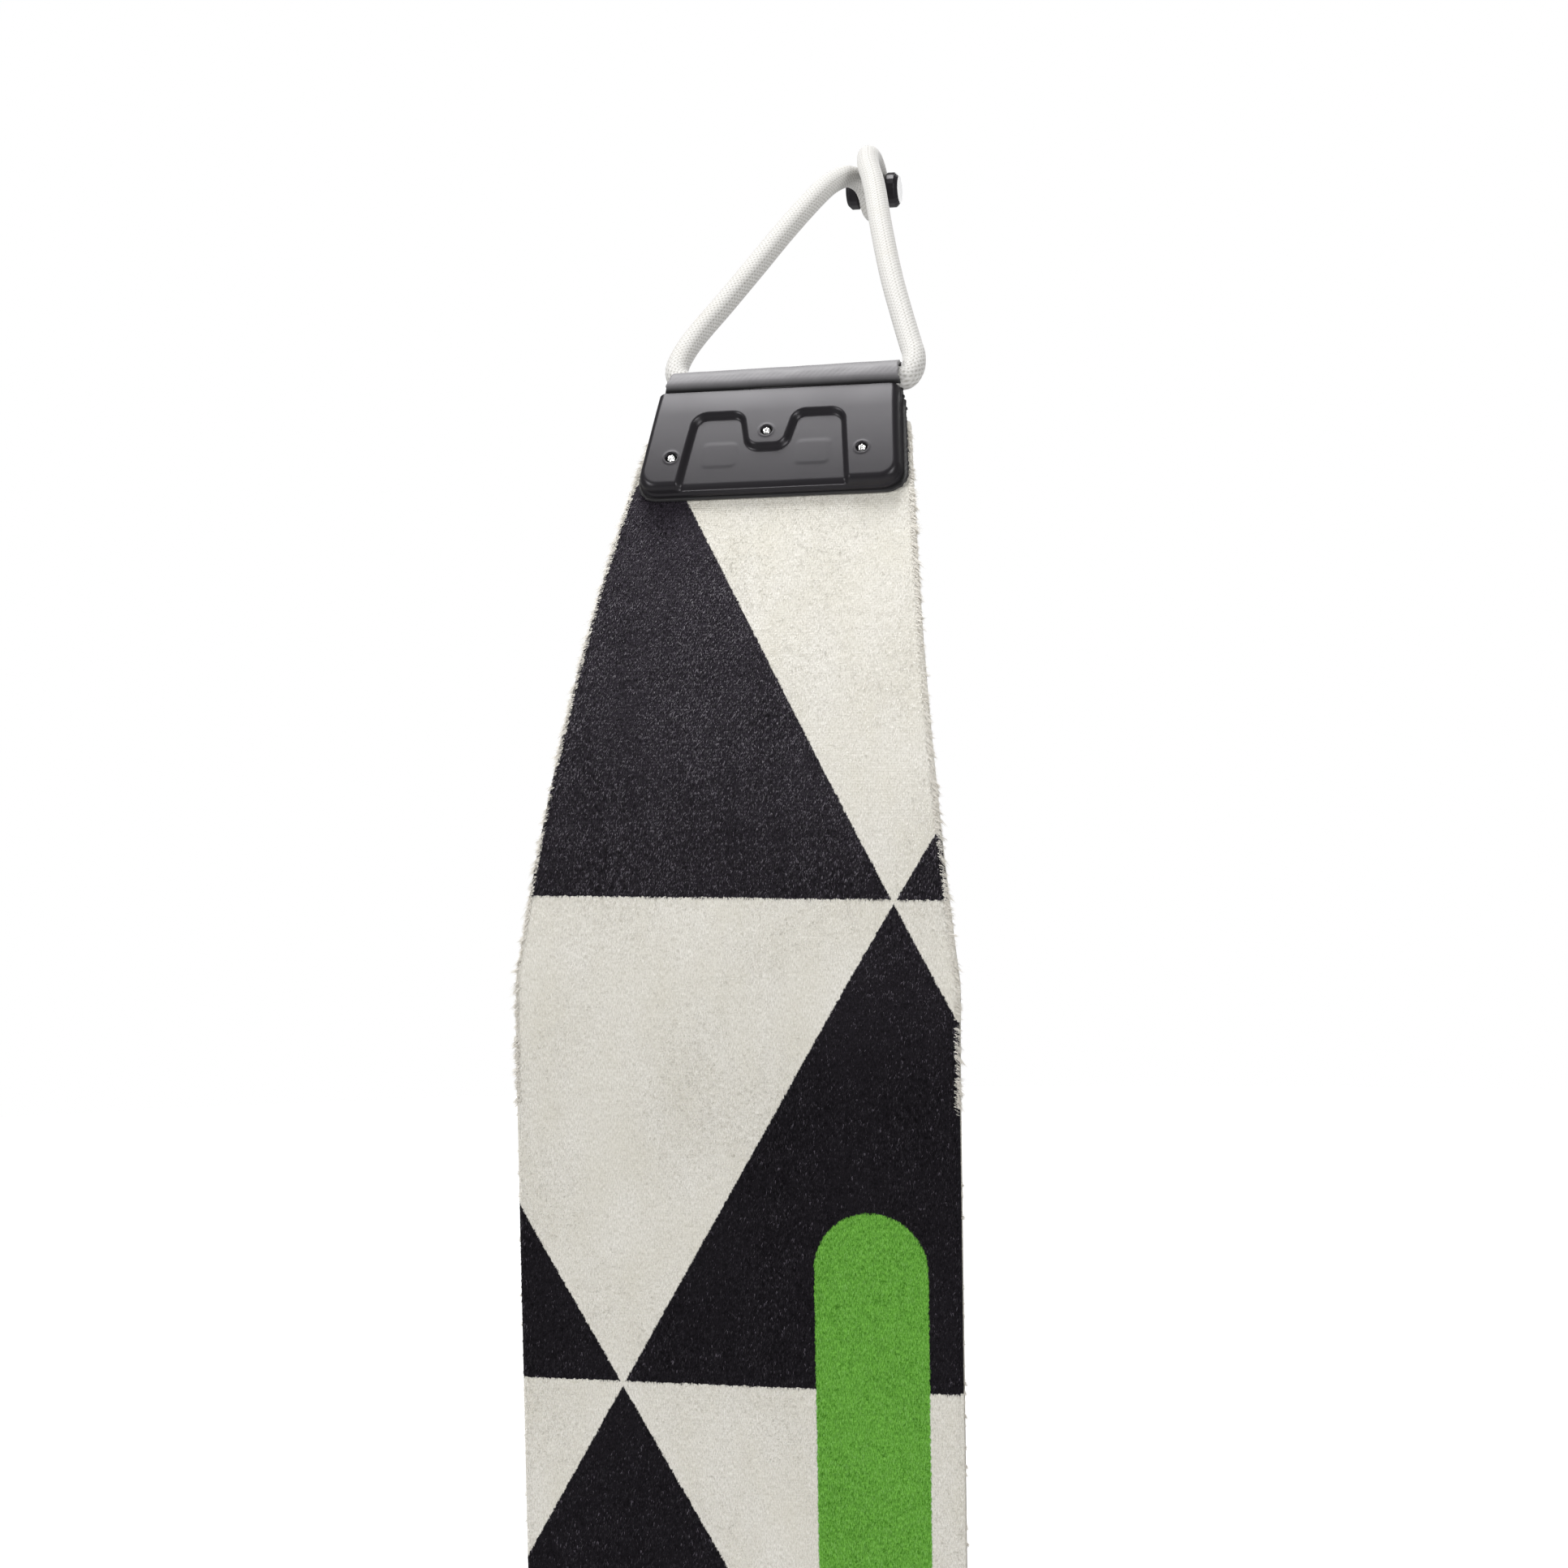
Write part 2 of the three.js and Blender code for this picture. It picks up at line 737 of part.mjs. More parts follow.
// The wire lies on a strip rolled into a J; across is x, down is the distance along the J.
function onHook(across, down) {
  const { leg, bendRadius } = hook;
  const turn = THREE.MathUtils.clamp((down - leg) / bendRadius, 0, Math.PI);
  const straight = Math.min(down, leg);
  const up = Math.max(down - leg - Math.PI * bendRadius, 0);
  return new THREE.Vector3(
    across,
    bendRadius * (1 - Math.cos(turn)),
    -straight - bendRadius * Math.sin(turn) + up,
  );
}

function tailHook() {
  const reach = hook.leg + Math.PI * hook.bendRadius + hook.upturn;
  const { half, corner } = hook;
  const gap = 0.4;
  const outline = new THREE.Path();
  outline.moveTo(gap, 0);
  outline.lineTo(half - corner, 0);
  outline.absarc(half - corner, corner, corner, -Math.PI / 2, 0, false);
  outline.lineTo(half, reach - corner);
  outline.absarc(half - corner, reach - corner, corner, 0, Math.PI / 2, false);
  outline.lineTo(-half + corner, reach);
  outline.absarc(-half + corner, reach - corner, corner, Math.PI / 2, Math.PI, false);
  outline.lineTo(-half, corner);
  outline.absarc(-half + corner, corner, corner, Math.PI, 1.5 * Math.PI, false);
  outline.lineTo(-gap, 0);
  const flat = outline.getSpacedPoints(90);
  const path = new THREE.CatmullRomCurve3(flat.map((point) => onHook(point.x, point.y)));
  const section = new THREE.Shape(
    Array.from({ length: 8 }, (_, i) => {
      const angle = 2 * Math.PI * i / 8;
      return new THREE.Vector2(hook.wire * Math.cos(angle), hook.wire * Math.sin(angle));
    }),
  );
  const geometry = new THREE.ExtrudeGeometry(section, {
    steps: 80,
    extrudePath: path,
    bevelEnabled: false,
  });
  const mesh = named('tail_hook', geometry, steel);
  mesh.position.copy(hookPlace);
  mesh.rotation.x = -THREE.MathUtils.degToRad(hook.hang);
  return mesh;
}

function tailKit() {
  const group = new THREE.Group();
  group.add(tailPlate('tail_plate_outer', tail.outerPlate, blackPlastic));
  group.add(tailPlate('tail_plate_inner', tail.innerPlate, steel));
  for (const place of Object.keys(tailRivetPlaces)) {
    group.add(tailRivetMesh(place));
  }
  group.add(buckleFrame(), leverPin(), camLever(), tailStrap(), strapTab(), tailHook());
  return group;
}

const climbingSkin = new THREE.Group();
climbingSkin.add(strip(), tipFitting(), tailKit());

export default climbingSkin;
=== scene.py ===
"""Looks for one climbing skin: patterned plush on a glued strip, a riveted tip plate with its coated
sleeve and white elastic loop, and a webbing tail strap with a cam buckle and a wire hook.
Places repeat the CAD model's driving dimensions, in metres."""

import json
import math

import bpy
import numpy as np
from mathutils import Matrix, Vector, noise


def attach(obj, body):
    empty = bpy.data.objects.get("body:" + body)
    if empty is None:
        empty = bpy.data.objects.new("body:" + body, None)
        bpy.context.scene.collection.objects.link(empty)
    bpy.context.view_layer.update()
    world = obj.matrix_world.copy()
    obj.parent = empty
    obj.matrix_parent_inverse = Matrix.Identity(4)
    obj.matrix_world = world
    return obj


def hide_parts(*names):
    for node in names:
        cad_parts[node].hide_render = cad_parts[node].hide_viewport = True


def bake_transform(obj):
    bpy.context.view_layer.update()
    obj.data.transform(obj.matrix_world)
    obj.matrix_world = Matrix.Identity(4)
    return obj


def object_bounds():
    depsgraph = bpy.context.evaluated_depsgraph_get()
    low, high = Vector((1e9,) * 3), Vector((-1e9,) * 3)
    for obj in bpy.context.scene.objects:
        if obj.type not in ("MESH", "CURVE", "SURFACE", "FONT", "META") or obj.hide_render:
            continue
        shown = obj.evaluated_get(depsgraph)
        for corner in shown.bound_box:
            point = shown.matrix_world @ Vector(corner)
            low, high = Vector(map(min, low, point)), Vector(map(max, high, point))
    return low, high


MM = 0.001
SEED = 11
rng = np.random.default_rng(SEED)

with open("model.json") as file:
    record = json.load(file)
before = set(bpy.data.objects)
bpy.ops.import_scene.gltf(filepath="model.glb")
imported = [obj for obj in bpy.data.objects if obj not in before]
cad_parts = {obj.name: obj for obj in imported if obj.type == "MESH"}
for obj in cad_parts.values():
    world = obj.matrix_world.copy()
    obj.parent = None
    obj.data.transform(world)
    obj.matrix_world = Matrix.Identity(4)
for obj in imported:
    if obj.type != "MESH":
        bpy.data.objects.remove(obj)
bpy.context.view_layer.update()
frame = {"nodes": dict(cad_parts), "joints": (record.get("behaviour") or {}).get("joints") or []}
nodes = frame["nodes"]


# ---- driving dimensions, as in the CAD model ---------
HALF_WIDTH = 55 * MM
TAPER_START = 77 * MM
TAPER_SLOPE = 0.149
NOSE_END = 224 * MM
TAIL_START = -1275 * MM
TAIL_END = -1335 * MM
TAIL_HALF_WIDTH = 26 * MM
FOLD_Z = -690 * MM
FOLD_REACH = 18 * MM
FOLD_STEP = 1 * MM
BEND_START = 50 * MM
BEND_END = 204 * MM
BEND_RADIUS = 240 * MM
NOSE_ANGLE = (BEND_END - BEND_START) / BEND_RADIUS
TIP_SKEW = math.radians(2.0)
GLUE = (0.0, 0.4 * MM)
BACKING = (0.6 * MM, 1.1 * MM)
PLUSH = (1.3 * MM, 2.9 * MM)
CORD_RADIUS = 3 * MM
TUNNEL_Y = -4.55 * MM
TUNNEL_Z = 30.9 * MM
TUNNEL_MIDDLE = 3.95 * MM
SLEEVE_THICKNESS = 0.7 * MM
STRAP_HALF = 10 * MM
STRAP_THICKNESS = 1.5 * MM
STRAP_MIDDLE = -8.35 * MM
STRAP_TOP = -1250 * MM
STRAP_FOLD_UP = 15 * MM
STRAP_LOOP = STRAP_THICKNESS / 2 + 1.9 * MM
HOOK_BAR_Y = STRAP_MIDDLE + STRAP_LOOP
HOOK_Z = -1392 * MM
HOOK_WIRE = 1.5 * MM
HOOK_HALF = 15 * MM
HOOK_LEG = 20 * MM
HOOK_BEND = 6.5 * MM
HOOK_UPTURN = 6 * MM
HOOK_CORNER = 4 * MM
HOOK_HANG = math.radians(21)

# The tip cap and its rivets, in millimetres in the tip fitting's own frame. The cap's top corners
# are rounded less upwards than sideways, by the squeeze.
CAP_LOW, CAP_HIGH = -3.0, 28.0
CAP_LOW_HALF, CAP_HIGH_HALF = 34.3, 31.3
CAP_BACK, CAP_FRONT = -4.2, -8.2
CAP_CORNER, CAP_TOP_CORNER, CAP_TOP_SQUEEZE = 6.0, 3.0, 3.4
CAP_FLANGE, CAP_SHOULDER = 1.2, 1.9
PANEL_CENTRE, PANEL_DEPTH, PANEL_WALL = -1.3, 1.5, 1.7
TIP_RIVETS = {"left": (-25.3, 6.5), "middle": (-1.5, 13.8), "right": (23.4, 7.2)}

# The printed pattern, in millimetres on the flat strip: rows of upright dark triangles, each row
# shifted by half a triangle. The print ends a little below the strip's end.
ROW_HEIGHT = 118.3
HALF_BASE = ROW_HEIGHT * math.tan(math.radians(30))
ROW_TOP = 97.0
APEX_X = 38.9
ROW_GAP = 1.0
PRINT_END = 213.0
# Half the width over which one printed colour goes over into the next.
PRINT_SOFTNESS = 0.16
# One plain bar with round ends, in the green of the print.
BAR_X, BAR_LOW, BAR_HIGH, BAR_HALF = 33.0, -70.0, 8.0, 14.0

# The pile's tufts stand in rows across the strip.
TUFT_ROW = 0.72 * MM
TUFT_WIDTH = 0.5 * MM
# Above this place the fibres stand closer together.
PILE_SPLIT = -80 * MM
# White fibres frayed out of the cut edges: a close fringe and tufts, each counted on the tapered
# nose and on the rest.
FRAY_START = TAPER_START - 30 * MM
TUFTS_END = -200 * MM
FRINGE_COUNTS = (7000, 9000)
TUFT_COUNTS = (700, 160)
FIBRES_PER_TUFT = 22
# Edges bent more sharply than this are shaded as edges.
SHARP_ANGLE = math.radians(50)


# ---- camera ------------------------------------------
def add_camera():
    yaw, pitch, roll = math.radians(13.52), math.radians(-5.06), math.radians(-0.98)
    forward = Vector((
        -math.sin(yaw) * math.cos(pitch),
        math.cos(yaw) * math.cos(pitch),
        math.sin(pitch),
    ))
    level = Vector((math.cos(yaw), math.sin(yaw), 0))
    above = level.cross(forward)
    right = level * math.cos(roll) + above * math.sin(roll)
    up = above * math.cos(roll) - level * math.sin(roll)
    data = bpy.data.cameras.new("camera")
    data.sensor_width = 36
    data.lens = 87.5
    data.clip_start = 0.02
    data.clip_end = 60
    camera = bpy.data.objects.new("camera", data)
    turn = Matrix((right, up, -forward)).transposed().to_4x4()
    camera.matrix_world = Matrix.Translation((0.225, -0.882, 0.2053)) @ turn
    bpy.context.scene.collection.objects.link(camera)
    bpy.context.scene.camera = camera


add_camera()


# ---- shapes shared by the pieces ---------------------
def half_width(u):
    u = np.asarray(u, float)
    nose = HALF_WIDTH - TAPER_SLOPE * np.maximum(u - TAPER_START, 0)
    depth = np.clip((TAIL_START - u) / (TAIL_START - TAIL_END), 0, 1)
    spread = np.sqrt(1 - depth**2)
    tail = TAIL_HALF_WIDTH + (HALF_WIDTH - TAIL_HALF_WIDTH) * spread
    return np.minimum(nose, tail)


def on_strip(x, u, offset):
    """Points at x across, u along the strip and offset off the glue face, towards the plush."""
    x, u, offset = np.broadcast_arrays(*(np.asarray(v, float) for v in (x, u, offset)))
    angle = np.clip((u - BEND_START) / BEND_RADIUS, 0, NOSE_ANGLE)
    beyond = np.maximum(u - BEND_END, 0)
    below = np.minimum(u - BEND_START, 0)
    reach = BEND_RADIUS + offset
    y = BEND_RADIUS - reach * np.cos(angle) + beyond * np.sin(angle)
    z = BEND_START + reach * np.sin(angle) + beyond * np.cos(angle) + below
    return np.stack([x, y, z], axis=-1)


NOSE_PLACE = Vector(on_strip(0, BEND_END, 0))
NOSE_TURN = Matrix.Rotation(-NOSE_ANGLE, 3, "X") @ Matrix.Rotation(-TIP_SKEW, 3, "Y")


def from_nose(points):
    """Points of the tip fitting's own frame, tilted with the end of the nose's curve."""
    turned = np.asarray(points, float) @ np.array(NOSE_TURN).T
    return turned + np.array(NOSE_PLACE)


def new_mesh(name, points, faces, smooth=True):
    mesh = bpy.data.meshes.new(name)
    mesh.from_pydata([tuple(p) for p in points], [], [tuple(f) for f in faces])
    mesh.validate()
    if smooth:
        mesh.polygons.foreach_set("use_smooth", [True] * len(mesh.polygons))
        mesh.set_sharp_from_angle(angle=SHARP_ANGLE)
    obj = bpy.data.objects.new(name, mesh)
    bpy.context.scene.collection.objects.link(obj)
    return obj


def store(obj, name, values):
    """A value for each vertex, one number or three, for the materials to read."""
    values = np.asarray(values, np.float32)
    kind = "FLOAT" if values.ndim == 1 else "FLOAT_VECTOR"
    attribute = obj.data.attributes.new(name, kind, "POINT")
    attribute.data.foreach_set("value" if values.ndim == 1 else "vector", values.ravel())


def grid_faces(rows, columns, closed=False):
    """Quads between neighbouring points of a grid; closed joins the last column to the first."""
    faces = []
    for i in range(rows - 1):
        for j in range(columns if closed else columns - 1):
            a, b = i * columns + j, i * columns + (j + 1) % columns
            faces.append((a, b, b + columns, a + columns))
    return faces


def distances(points):
    """How far along a path each of its points lies."""
    steps = np.linalg.norm(np.diff(points, axis=0), axis=1)
    return np.concatenate([[0], np.cumsum(steps)])


def resampled(points, places):
    """Points of a path at the given distances along it."""
    along = distances(points)
    columns = range(points.shape[1])
    return np.stack([np.interp(places, along, points[:, k]) for k in columns], axis=-1)


def smooth_path(points, spacing):
    """A Catmull-Rom curve through the points, resampled at an even spacing."""
    points = np.asarray(points, float)
    padded = np.vstack([2 * points[0] - points[1], points, 2 * points[-1] - points[-2]])
    dense = []
    for a, b, c, d in zip(padded, padded[1:], padded[2:], padded[3:]):
        for t in np.linspace(0, 1, 24, endpoint=False):
            dense.append(0.5 * (
                2 * b + (c - a) * t + (2 * a - 5 * b + 4 * c - d) * t**2
                + (3 * b - a - 3 * c + d) * t**3
            ))
    dense = np.array([*dense, points[-1]])
    length = distances(dense)[-1]
    count = max(int(round(length / spacing)), 2)
    return resampled(dense, np.linspace(0, length, count + 1))


def tube(name, path, radius, sides, relief=None):
    """A round tube along a path; relief(around, along) gives each point's share of the radius."""
    path = np.asarray(path, float)
    tangents = np.gradient(path, axis=0)
    tangents /= np.linalg.norm(tangents, axis=1)[:, None]
    normal = np.cross(tangents[0], [0.3, 0.5, 0.8])
    normals = []
    for tangent in tangents:
        normal = normal - tangent * np.dot(normal, tangent)
        normal = normal / np.linalg.norm(normal)
        normals.append(normal)
    normals = np.array(normals)
    sideways = np.cross(tangents, normals)
    along = distances(path)[:, None]
    around = (2 * math.pi * np.arange(sides) / sides)[None, :]
    radii = radius * (relief(around, along) if relief else np.ones((len(path), sides)))
    points = (
        path[:, None, :]
        + normals[:, None, :] * (np.cos(around) * radii)[:, :, None]
        + sideways[:, None, :] * (np.sin(around) * radii)[:, :, None]
    )
    faces = grid_faces(len(path), sides, closed=True)
    faces.append(tuple(range(sides - 1, -1, -1)))
    last = (len(path) - 1) * sides
    faces.append(tuple(range(last, last + sides)))
    obj = new_mesh(name, points.reshape(-1, 3), faces)
    store(obj, "around", np.broadcast_to(around, radii.shape).ravel())
    store(obj, "relief", (radii / radius).ravel())
    store(obj, "along", np.broadcast_to(along, radii.shape).ravel())
    return obj


def store_cloth(obj, x, along):
    """Each point's place on the flat cloth, in millimetres, for a woven material."""
    flat = np.stack(np.broadcast_arrays(x, along, 0.0), axis=-1)
    store(obj, "cloth", flat.reshape(-1, 3) / MM)


def thicken(obj, thickness):
    """Gives a surface its thickness, half to each side."""
    solid = obj.modifiers.new("thickness", "SOLIDIFY")
    solid.thickness = thickness
    solid.offset = 0


# ---- material nodes ----------------------------------
class Shader:
    """A node-based material with a Principled BSDF, and short calls for the nodes it needs."""

    def __init__(self, name, **numbers):
        self.material = bpy.data.materials.new(name)
        self.material.use_nodes = True
        self.tree = self.material.node_tree
        self.surface = self.tree.nodes["Principled BSDF"]
        for socket, value in numbers.items():
            self.surface.inputs[socket.replace("_", " ")].default_value = value

    def node(self, kind, inputs=(), **settings):
        node = self.tree.nodes.new(kind)
        for key, value in settings.items():
            setattr(node, key, value)
        for key, value in dict(inputs).items():
            self.plug(value, node.inputs[key])
        return node

    def plug(self, value, socket):
        if isinstance(value, bpy.types.NodeSocket):
            self.tree.links.new(value, socket)
        else:
            socket.default_value = value

    def math(self, operation, a, b=0.0, c=0.0):
        node = self.node("ShaderNodeMath", operation=operation)
        for socket, value in zip(node.inputs, (a, b, c)):
            self.plug(value, socket)
        return node.outputs[0]

    def attribute(self, name, output="Vector"):
        return self.node("ShaderNodeAttribute", attribute_name=name).outputs[output]

    def mix(self, share, a, b):
        node = self.node("ShaderNodeMix", data_type="RGBA")
        self.plug(share, node.inputs[0])
        self.plug(a, node.inputs[6])
        self.plug(b, node.inputs[7])
        return node.outputs[2]

    def noise(self, vector, scale, detail=2.0, roughness=0.5):
        node = self.node(
            "ShaderNodeTexNoise",
            {"Vector": vector, "Scale": scale, "Detail": detail, "Roughness": roughness},
        )
        return node.outputs["Fac"]

    def ramp(self, value, low, high, to_low=0.0, to_high=1.0):
        node = self.node("ShaderNodeMapRange", {
            "Value": value, "From Min": low, "From Max": high, "To Min": to_low, "To Max": to_high,
        })
        return node.outputs["Result"]

    def scaled(self, vector, scale):
        node = self.node("ShaderNodeVectorMath", operation="MULTIPLY")
        self.plug(vector, node.inputs[0])
        node.inputs[1].default_value = scale
        return node.outputs["Vector"]

    def place(self):
        return self.node("ShaderNodeTexCoord").outputs["Object"]

    def color(self, value):
        self.plug(value, self.surface.inputs["Base Color"])

    def roughness(self, value):
        self.plug(value, self.surface.inputs["Roughness"])

    def bump(self, height, distance, strength=1.0, normal=None):
        node = self.node(
            "ShaderNodeBump", {"Height": height, "Distance": distance, "Strength": strength}
        )
        if normal is not None:
            self.plug(normal, node.inputs["Normal"])
        self.plug(node.outputs["Normal"], self.surface.inputs["Normal"])


def dress(obj, shader):
    obj.data.materials.clear()
    obj.data.materials.append(shader.material)


def stand_in(obj, body, node):
    """Shows a piece in a CAD node's place, riding on the same body."""
    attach(obj, body)
    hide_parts(node)


# ---- materials ---------------------------------------
# Each dye in three tones, from painted shade to painted glint, for the single fibres that together
# make its tone; mixed at random they also give the pile its mottle.
CHARCOAL = [(0.0036, 0.0028, 0.0043, 1), (0.017, 0.0142, 0.0195, 1), (0.066, 0.056, 0.074, 1)]
CREAM = [(0.57, 0.547, 0.488, 1), (0.70, 0.676, 0.622, 1), (0.83, 0.810, 0.762, 1)]
LEAF = [(0.062, 0.22, 0.016, 1), (0.12, 0.35, 0.04, 1), (0.20, 0.50, 0.075, 1)]
FIBRE_SHINE = (0.08, 0.25, 0.5)
CREAM_DYE, CHARCOAL_DYE, GREEN_DYE = 0, 1, 2


def fibre_materials():
    """Three tones of each dye, from painted shade to painted glint, in the order that add_pile
    counts them.
    """
    made = []
    for dye, tones in (("cream", CREAM), ("charcoal", CHARCOAL), ("green", LEAF)):
        for tone, (color, shine) in enumerate(zip(tones, FIBRE_SHINE)):
            name = f"{dye}_fibre_{tone}"
            known = bpy.data.materials.get(name)
            made.append(known or Shader(
                name, Base_Color=color, Roughness=0.5, Specular_IOR_Level=shine
            ).material)
    return made


def wandering_place(shader, strip):
    """A point's x and u on the flat strip, shifted a little so that printed edges aren't ruled."""
    reach = 1.1
    wander = shader.node(
        "ShaderNodeTexNoise", {"Vector": shader.scaled(strip, (1.0, 0.6, 1.0)), "Scale": 1.6}
    )
    centred = shader.node("ShaderNodeVectorMath", operation="ADD")
    shader.plug(strip, centred.inputs[0])
    centred.inputs[1].default_value = (-reach / 2, -reach / 2, 0)
    shift = shader.node("ShaderNodeVectorMath", operation="MULTIPLY_ADD")
    shader.plug(wander.outputs["Color"], shift.inputs[0])
    shift.inputs[1].default_value = (reach, reach, 0)
    shader.plug(centred.outputs["Vector"], shift.inputs[2])
    split = shader.node("ShaderNodeSeparateXYZ", {"Vector": shift.outputs["Vector"]})
    return split.outputs["X"], split.outputs["Y"]


def triangle_share(shader, x, u):
    """How far a point lies in a dark triangle, from 0 to 1; in_triangle says the same."""
    down = shader.math("SUBTRACT", ROW_TOP, u)
    row = shader.math("FLOOR", shader.math("DIVIDE", down, ROW_HEIGHT))
    in_row = shader.math("SUBTRACT", down, shader.math("MULTIPLY", row, ROW_HEIGHT))
    from_apex = shader.math(
        "ADD", shader.math("SUBTRACT", x, APEX_X), shader.math("MULTIPLY", row, HALF_BASE)
    )
    wrapped = shader.math(
        "FLOORED_MODULO", shader.math("ADD", from_apex, HALF_BASE), 2 * HALF_BASE
    )
    sideways = shader.math("ABSOLUTE", shader.math("SUBTRACT", wrapped, HALF_BASE))
    reach = shader.math("SUBTRACT", in_row, ROW_GAP)
    allowed = shader.math("MULTIPLY", reach, HALF_BASE / ROW_HEIGHT)
    printed = shader.ramp(u, PRINT_END - 0.2, PRINT_END, 1.0, 0.0)
    inside = shader.ramp(
        shader.math("SUBTRACT", allowed, sideways), -PRINT_SOFTNESS, PRINT_SOFTNESS
    )
    return shader.math("MULTIPLY", inside, printed)


def bar_share(shader, x, u):
    """How far a point lies in the green bar, from 0 to 1; in_bar says the same."""
    nearest = shader.math("MINIMUM", shader.math("MAXIMUM", u, BAR_LOW), BAR_HIGH)
    across = shader.math("SUBTRACT", x, BAR_X)
    up = shader.math("SUBTRACT", u, nearest)
    squares = shader.math(
        "ADD", shader.math("MULTIPLY", across, across), shader.math("MULTIPLY", up, up)
    )
    from_middle = shader.math("SQRT", squares)
    return shader.ramp(
        shader.math("SUBTRACT", BAR_HALF, from_middle), -PRINT_SOFTNESS, PRINT_SOFTNESS
    )


def plush_material():
    """Pile dyed in the triangle pattern, with one plain green bar; reads the strip attribute,
    which holds a point's place on the flat strip in millimetres."""
    shader = Shader("plush", Roughness=0.7, Specular_IOR_Level=0.1)
    strip = shader.attribute("strip")
    x, u = wandering_place(shader, strip)
    dark = triangle_share(shader, x, u)
    bar = bar_share(shader, x, u)
    grain = shader.noise(shader.scaled(strip, (3.4, 1.1, 3.4)), 1.0, 3.0, 0.65)
    patch = shader.noise(shader.scaled(strip, (0.09, 0.05, 0.09)), 1.0, 2.0, 0.5)
    fleck = shader.ramp(grain, 0.36, 0.66)
    # Painted sheen: the dark pile is painted lighter up the curved nose, where it catches more
    # light.
    bright = shader.ramp(u, 50.0, 210.0, 0.12, 0.7)
    dark_color = shader.mix(shader.math("MULTIPLY", fleck, bright), CHARCOAL[0], CHARCOAL[2])
    light_color = shader.mix(fleck, CREAM[0], CREAM[2])
    green_color = shader.mix(fleck, LEAF[0], LEAF[2])
    worn = shader.ramp(patch, 0.35, 0.7, 0.0, 0.35)
    tinted = shader.mix(worn, light_color, (0.60, 0.57, 0.47, 1))
    both = shader.mix(dark, tinted, dark_color)
    shader.color(shader.mix(bar, both, green_color))
    ribs = shader.node("ShaderNodeTexWave", {
        "Vector": shader.scaled(strip, (0.0, 1.0, 0.0)), "Scale": 0.5, "Distortion": 1.2,
        "Detail": 1.0,
    }, bands_direction="Y")
    height = shader.math("ADD", grain, shader.math("MULTIPLY", ribs.outputs["Fac"], 0.15))
    shader.bump(height, 0.35 * MM, 0.6)
    return shader


def backing_material():
    shader = Shader("backing_cloth", Roughness=0.85)
    place = shader.place()
    weave = shader.noise(shader.scaled(place, (1800, 1800, 900)), 1.0, 2.0)
    shader.color(shader.mix(weave, (0.42, 0.40, 0.34, 1), (0.70, 0.68, 0.60, 1)))
    shader.bump(weave, 0.1 * MM, 0.6)
    return shader


def glue_material():
    shader = Shader("glue_film", Coat_Weight=0.25, Coat_Roughness=0.2)
    place = shader.place()
    blotch = shader.noise(place, 22.0, 3.0)
    grain = shader.noise(shader.scaled(place, (1.0, 1.0, 0.3)), 900.0, 3.0)
    shader.color(shader.mix(blotch, (0.11, 0.095, 0.07, 1), (0.17, 0.15, 0.115, 1)))
    shader.roughness(shader.ramp(blotch, 0.2, 0.8, 0.28, 0.5))
    shader.bump(grain, 0.08 * MM, 0.5)
    return shader


def moulded_material(name):
    shader = Shader(
        name, Base_Color=(0.0145, 0.0133, 0.0155, 1), Specular_IOR_Level=0.28,
        Specular_Tint=(0.98, 0.955, 1.0, 1),
    )
    place = shader.place()
    spark = shader.noise(place, 5200.0, 2.0)
    cloud = shader.noise(place, 60.0, 2.0)
    shader.roughness(shader.ramp(cloud, 0.2, 0.8, 0.29, 0.37))
    rounded = shader.node("ShaderNodeBevel", {"Radius": 0.25 * MM}, samples=6)
    shader.bump(spark, 0.02 * MM, 0.25, rounded.outputs["Normal"])
    return shader


# How far along the sleeve's cloth, in millimetres, it passes under the cap; past it the cloth is
# painted near-black, as painted shade.
SLEEVE_LEAF = 24.0


def coated_material():
    """A coated twill: fine slanted ribs under a soft sheen, painted near-black as painted shade
    where it runs under the cap.
    """
    shader = Shader("coated_cloth", Sheen_Weight=0.1)
    place = shader.attribute("cloth")
    twill = shader.node("ShaderNodeTexWave", {
        "Vector": place, "Scale": 0.42, "Distortion": 0.6, "Detail": 1.0, "Detail Scale": 3.0,
    }, bands_direction="DIAGONAL")
    soft = shader.noise(place, 0.35, 3.0)
    upper = shader.mix(soft, (0.168, 0.163, 0.170, 1), (0.215, 0.209, 0.218, 1))
    along = shader.node("ShaderNodeSeparateXYZ", {"Vector": place}).outputs["Y"]
    # Painted shade: near-black where the cloth runs in under the cap.
    painted_shade_under_cap = shader.ramp(along, SLEEVE_LEAF - 1.0, SLEEVE_LEAF + 1.0)
    shader.color(shader.mix(painted_shade_under_cap, upper, (0.011, 0.0105, 0.0115, 1)))
    shader.roughness(shader.ramp(soft, 0.2, 0.8, 0.5, 0.62))
    shader.bump(twill.outputs["Fac"], 0.05 * MM, 0.35)
    return shader


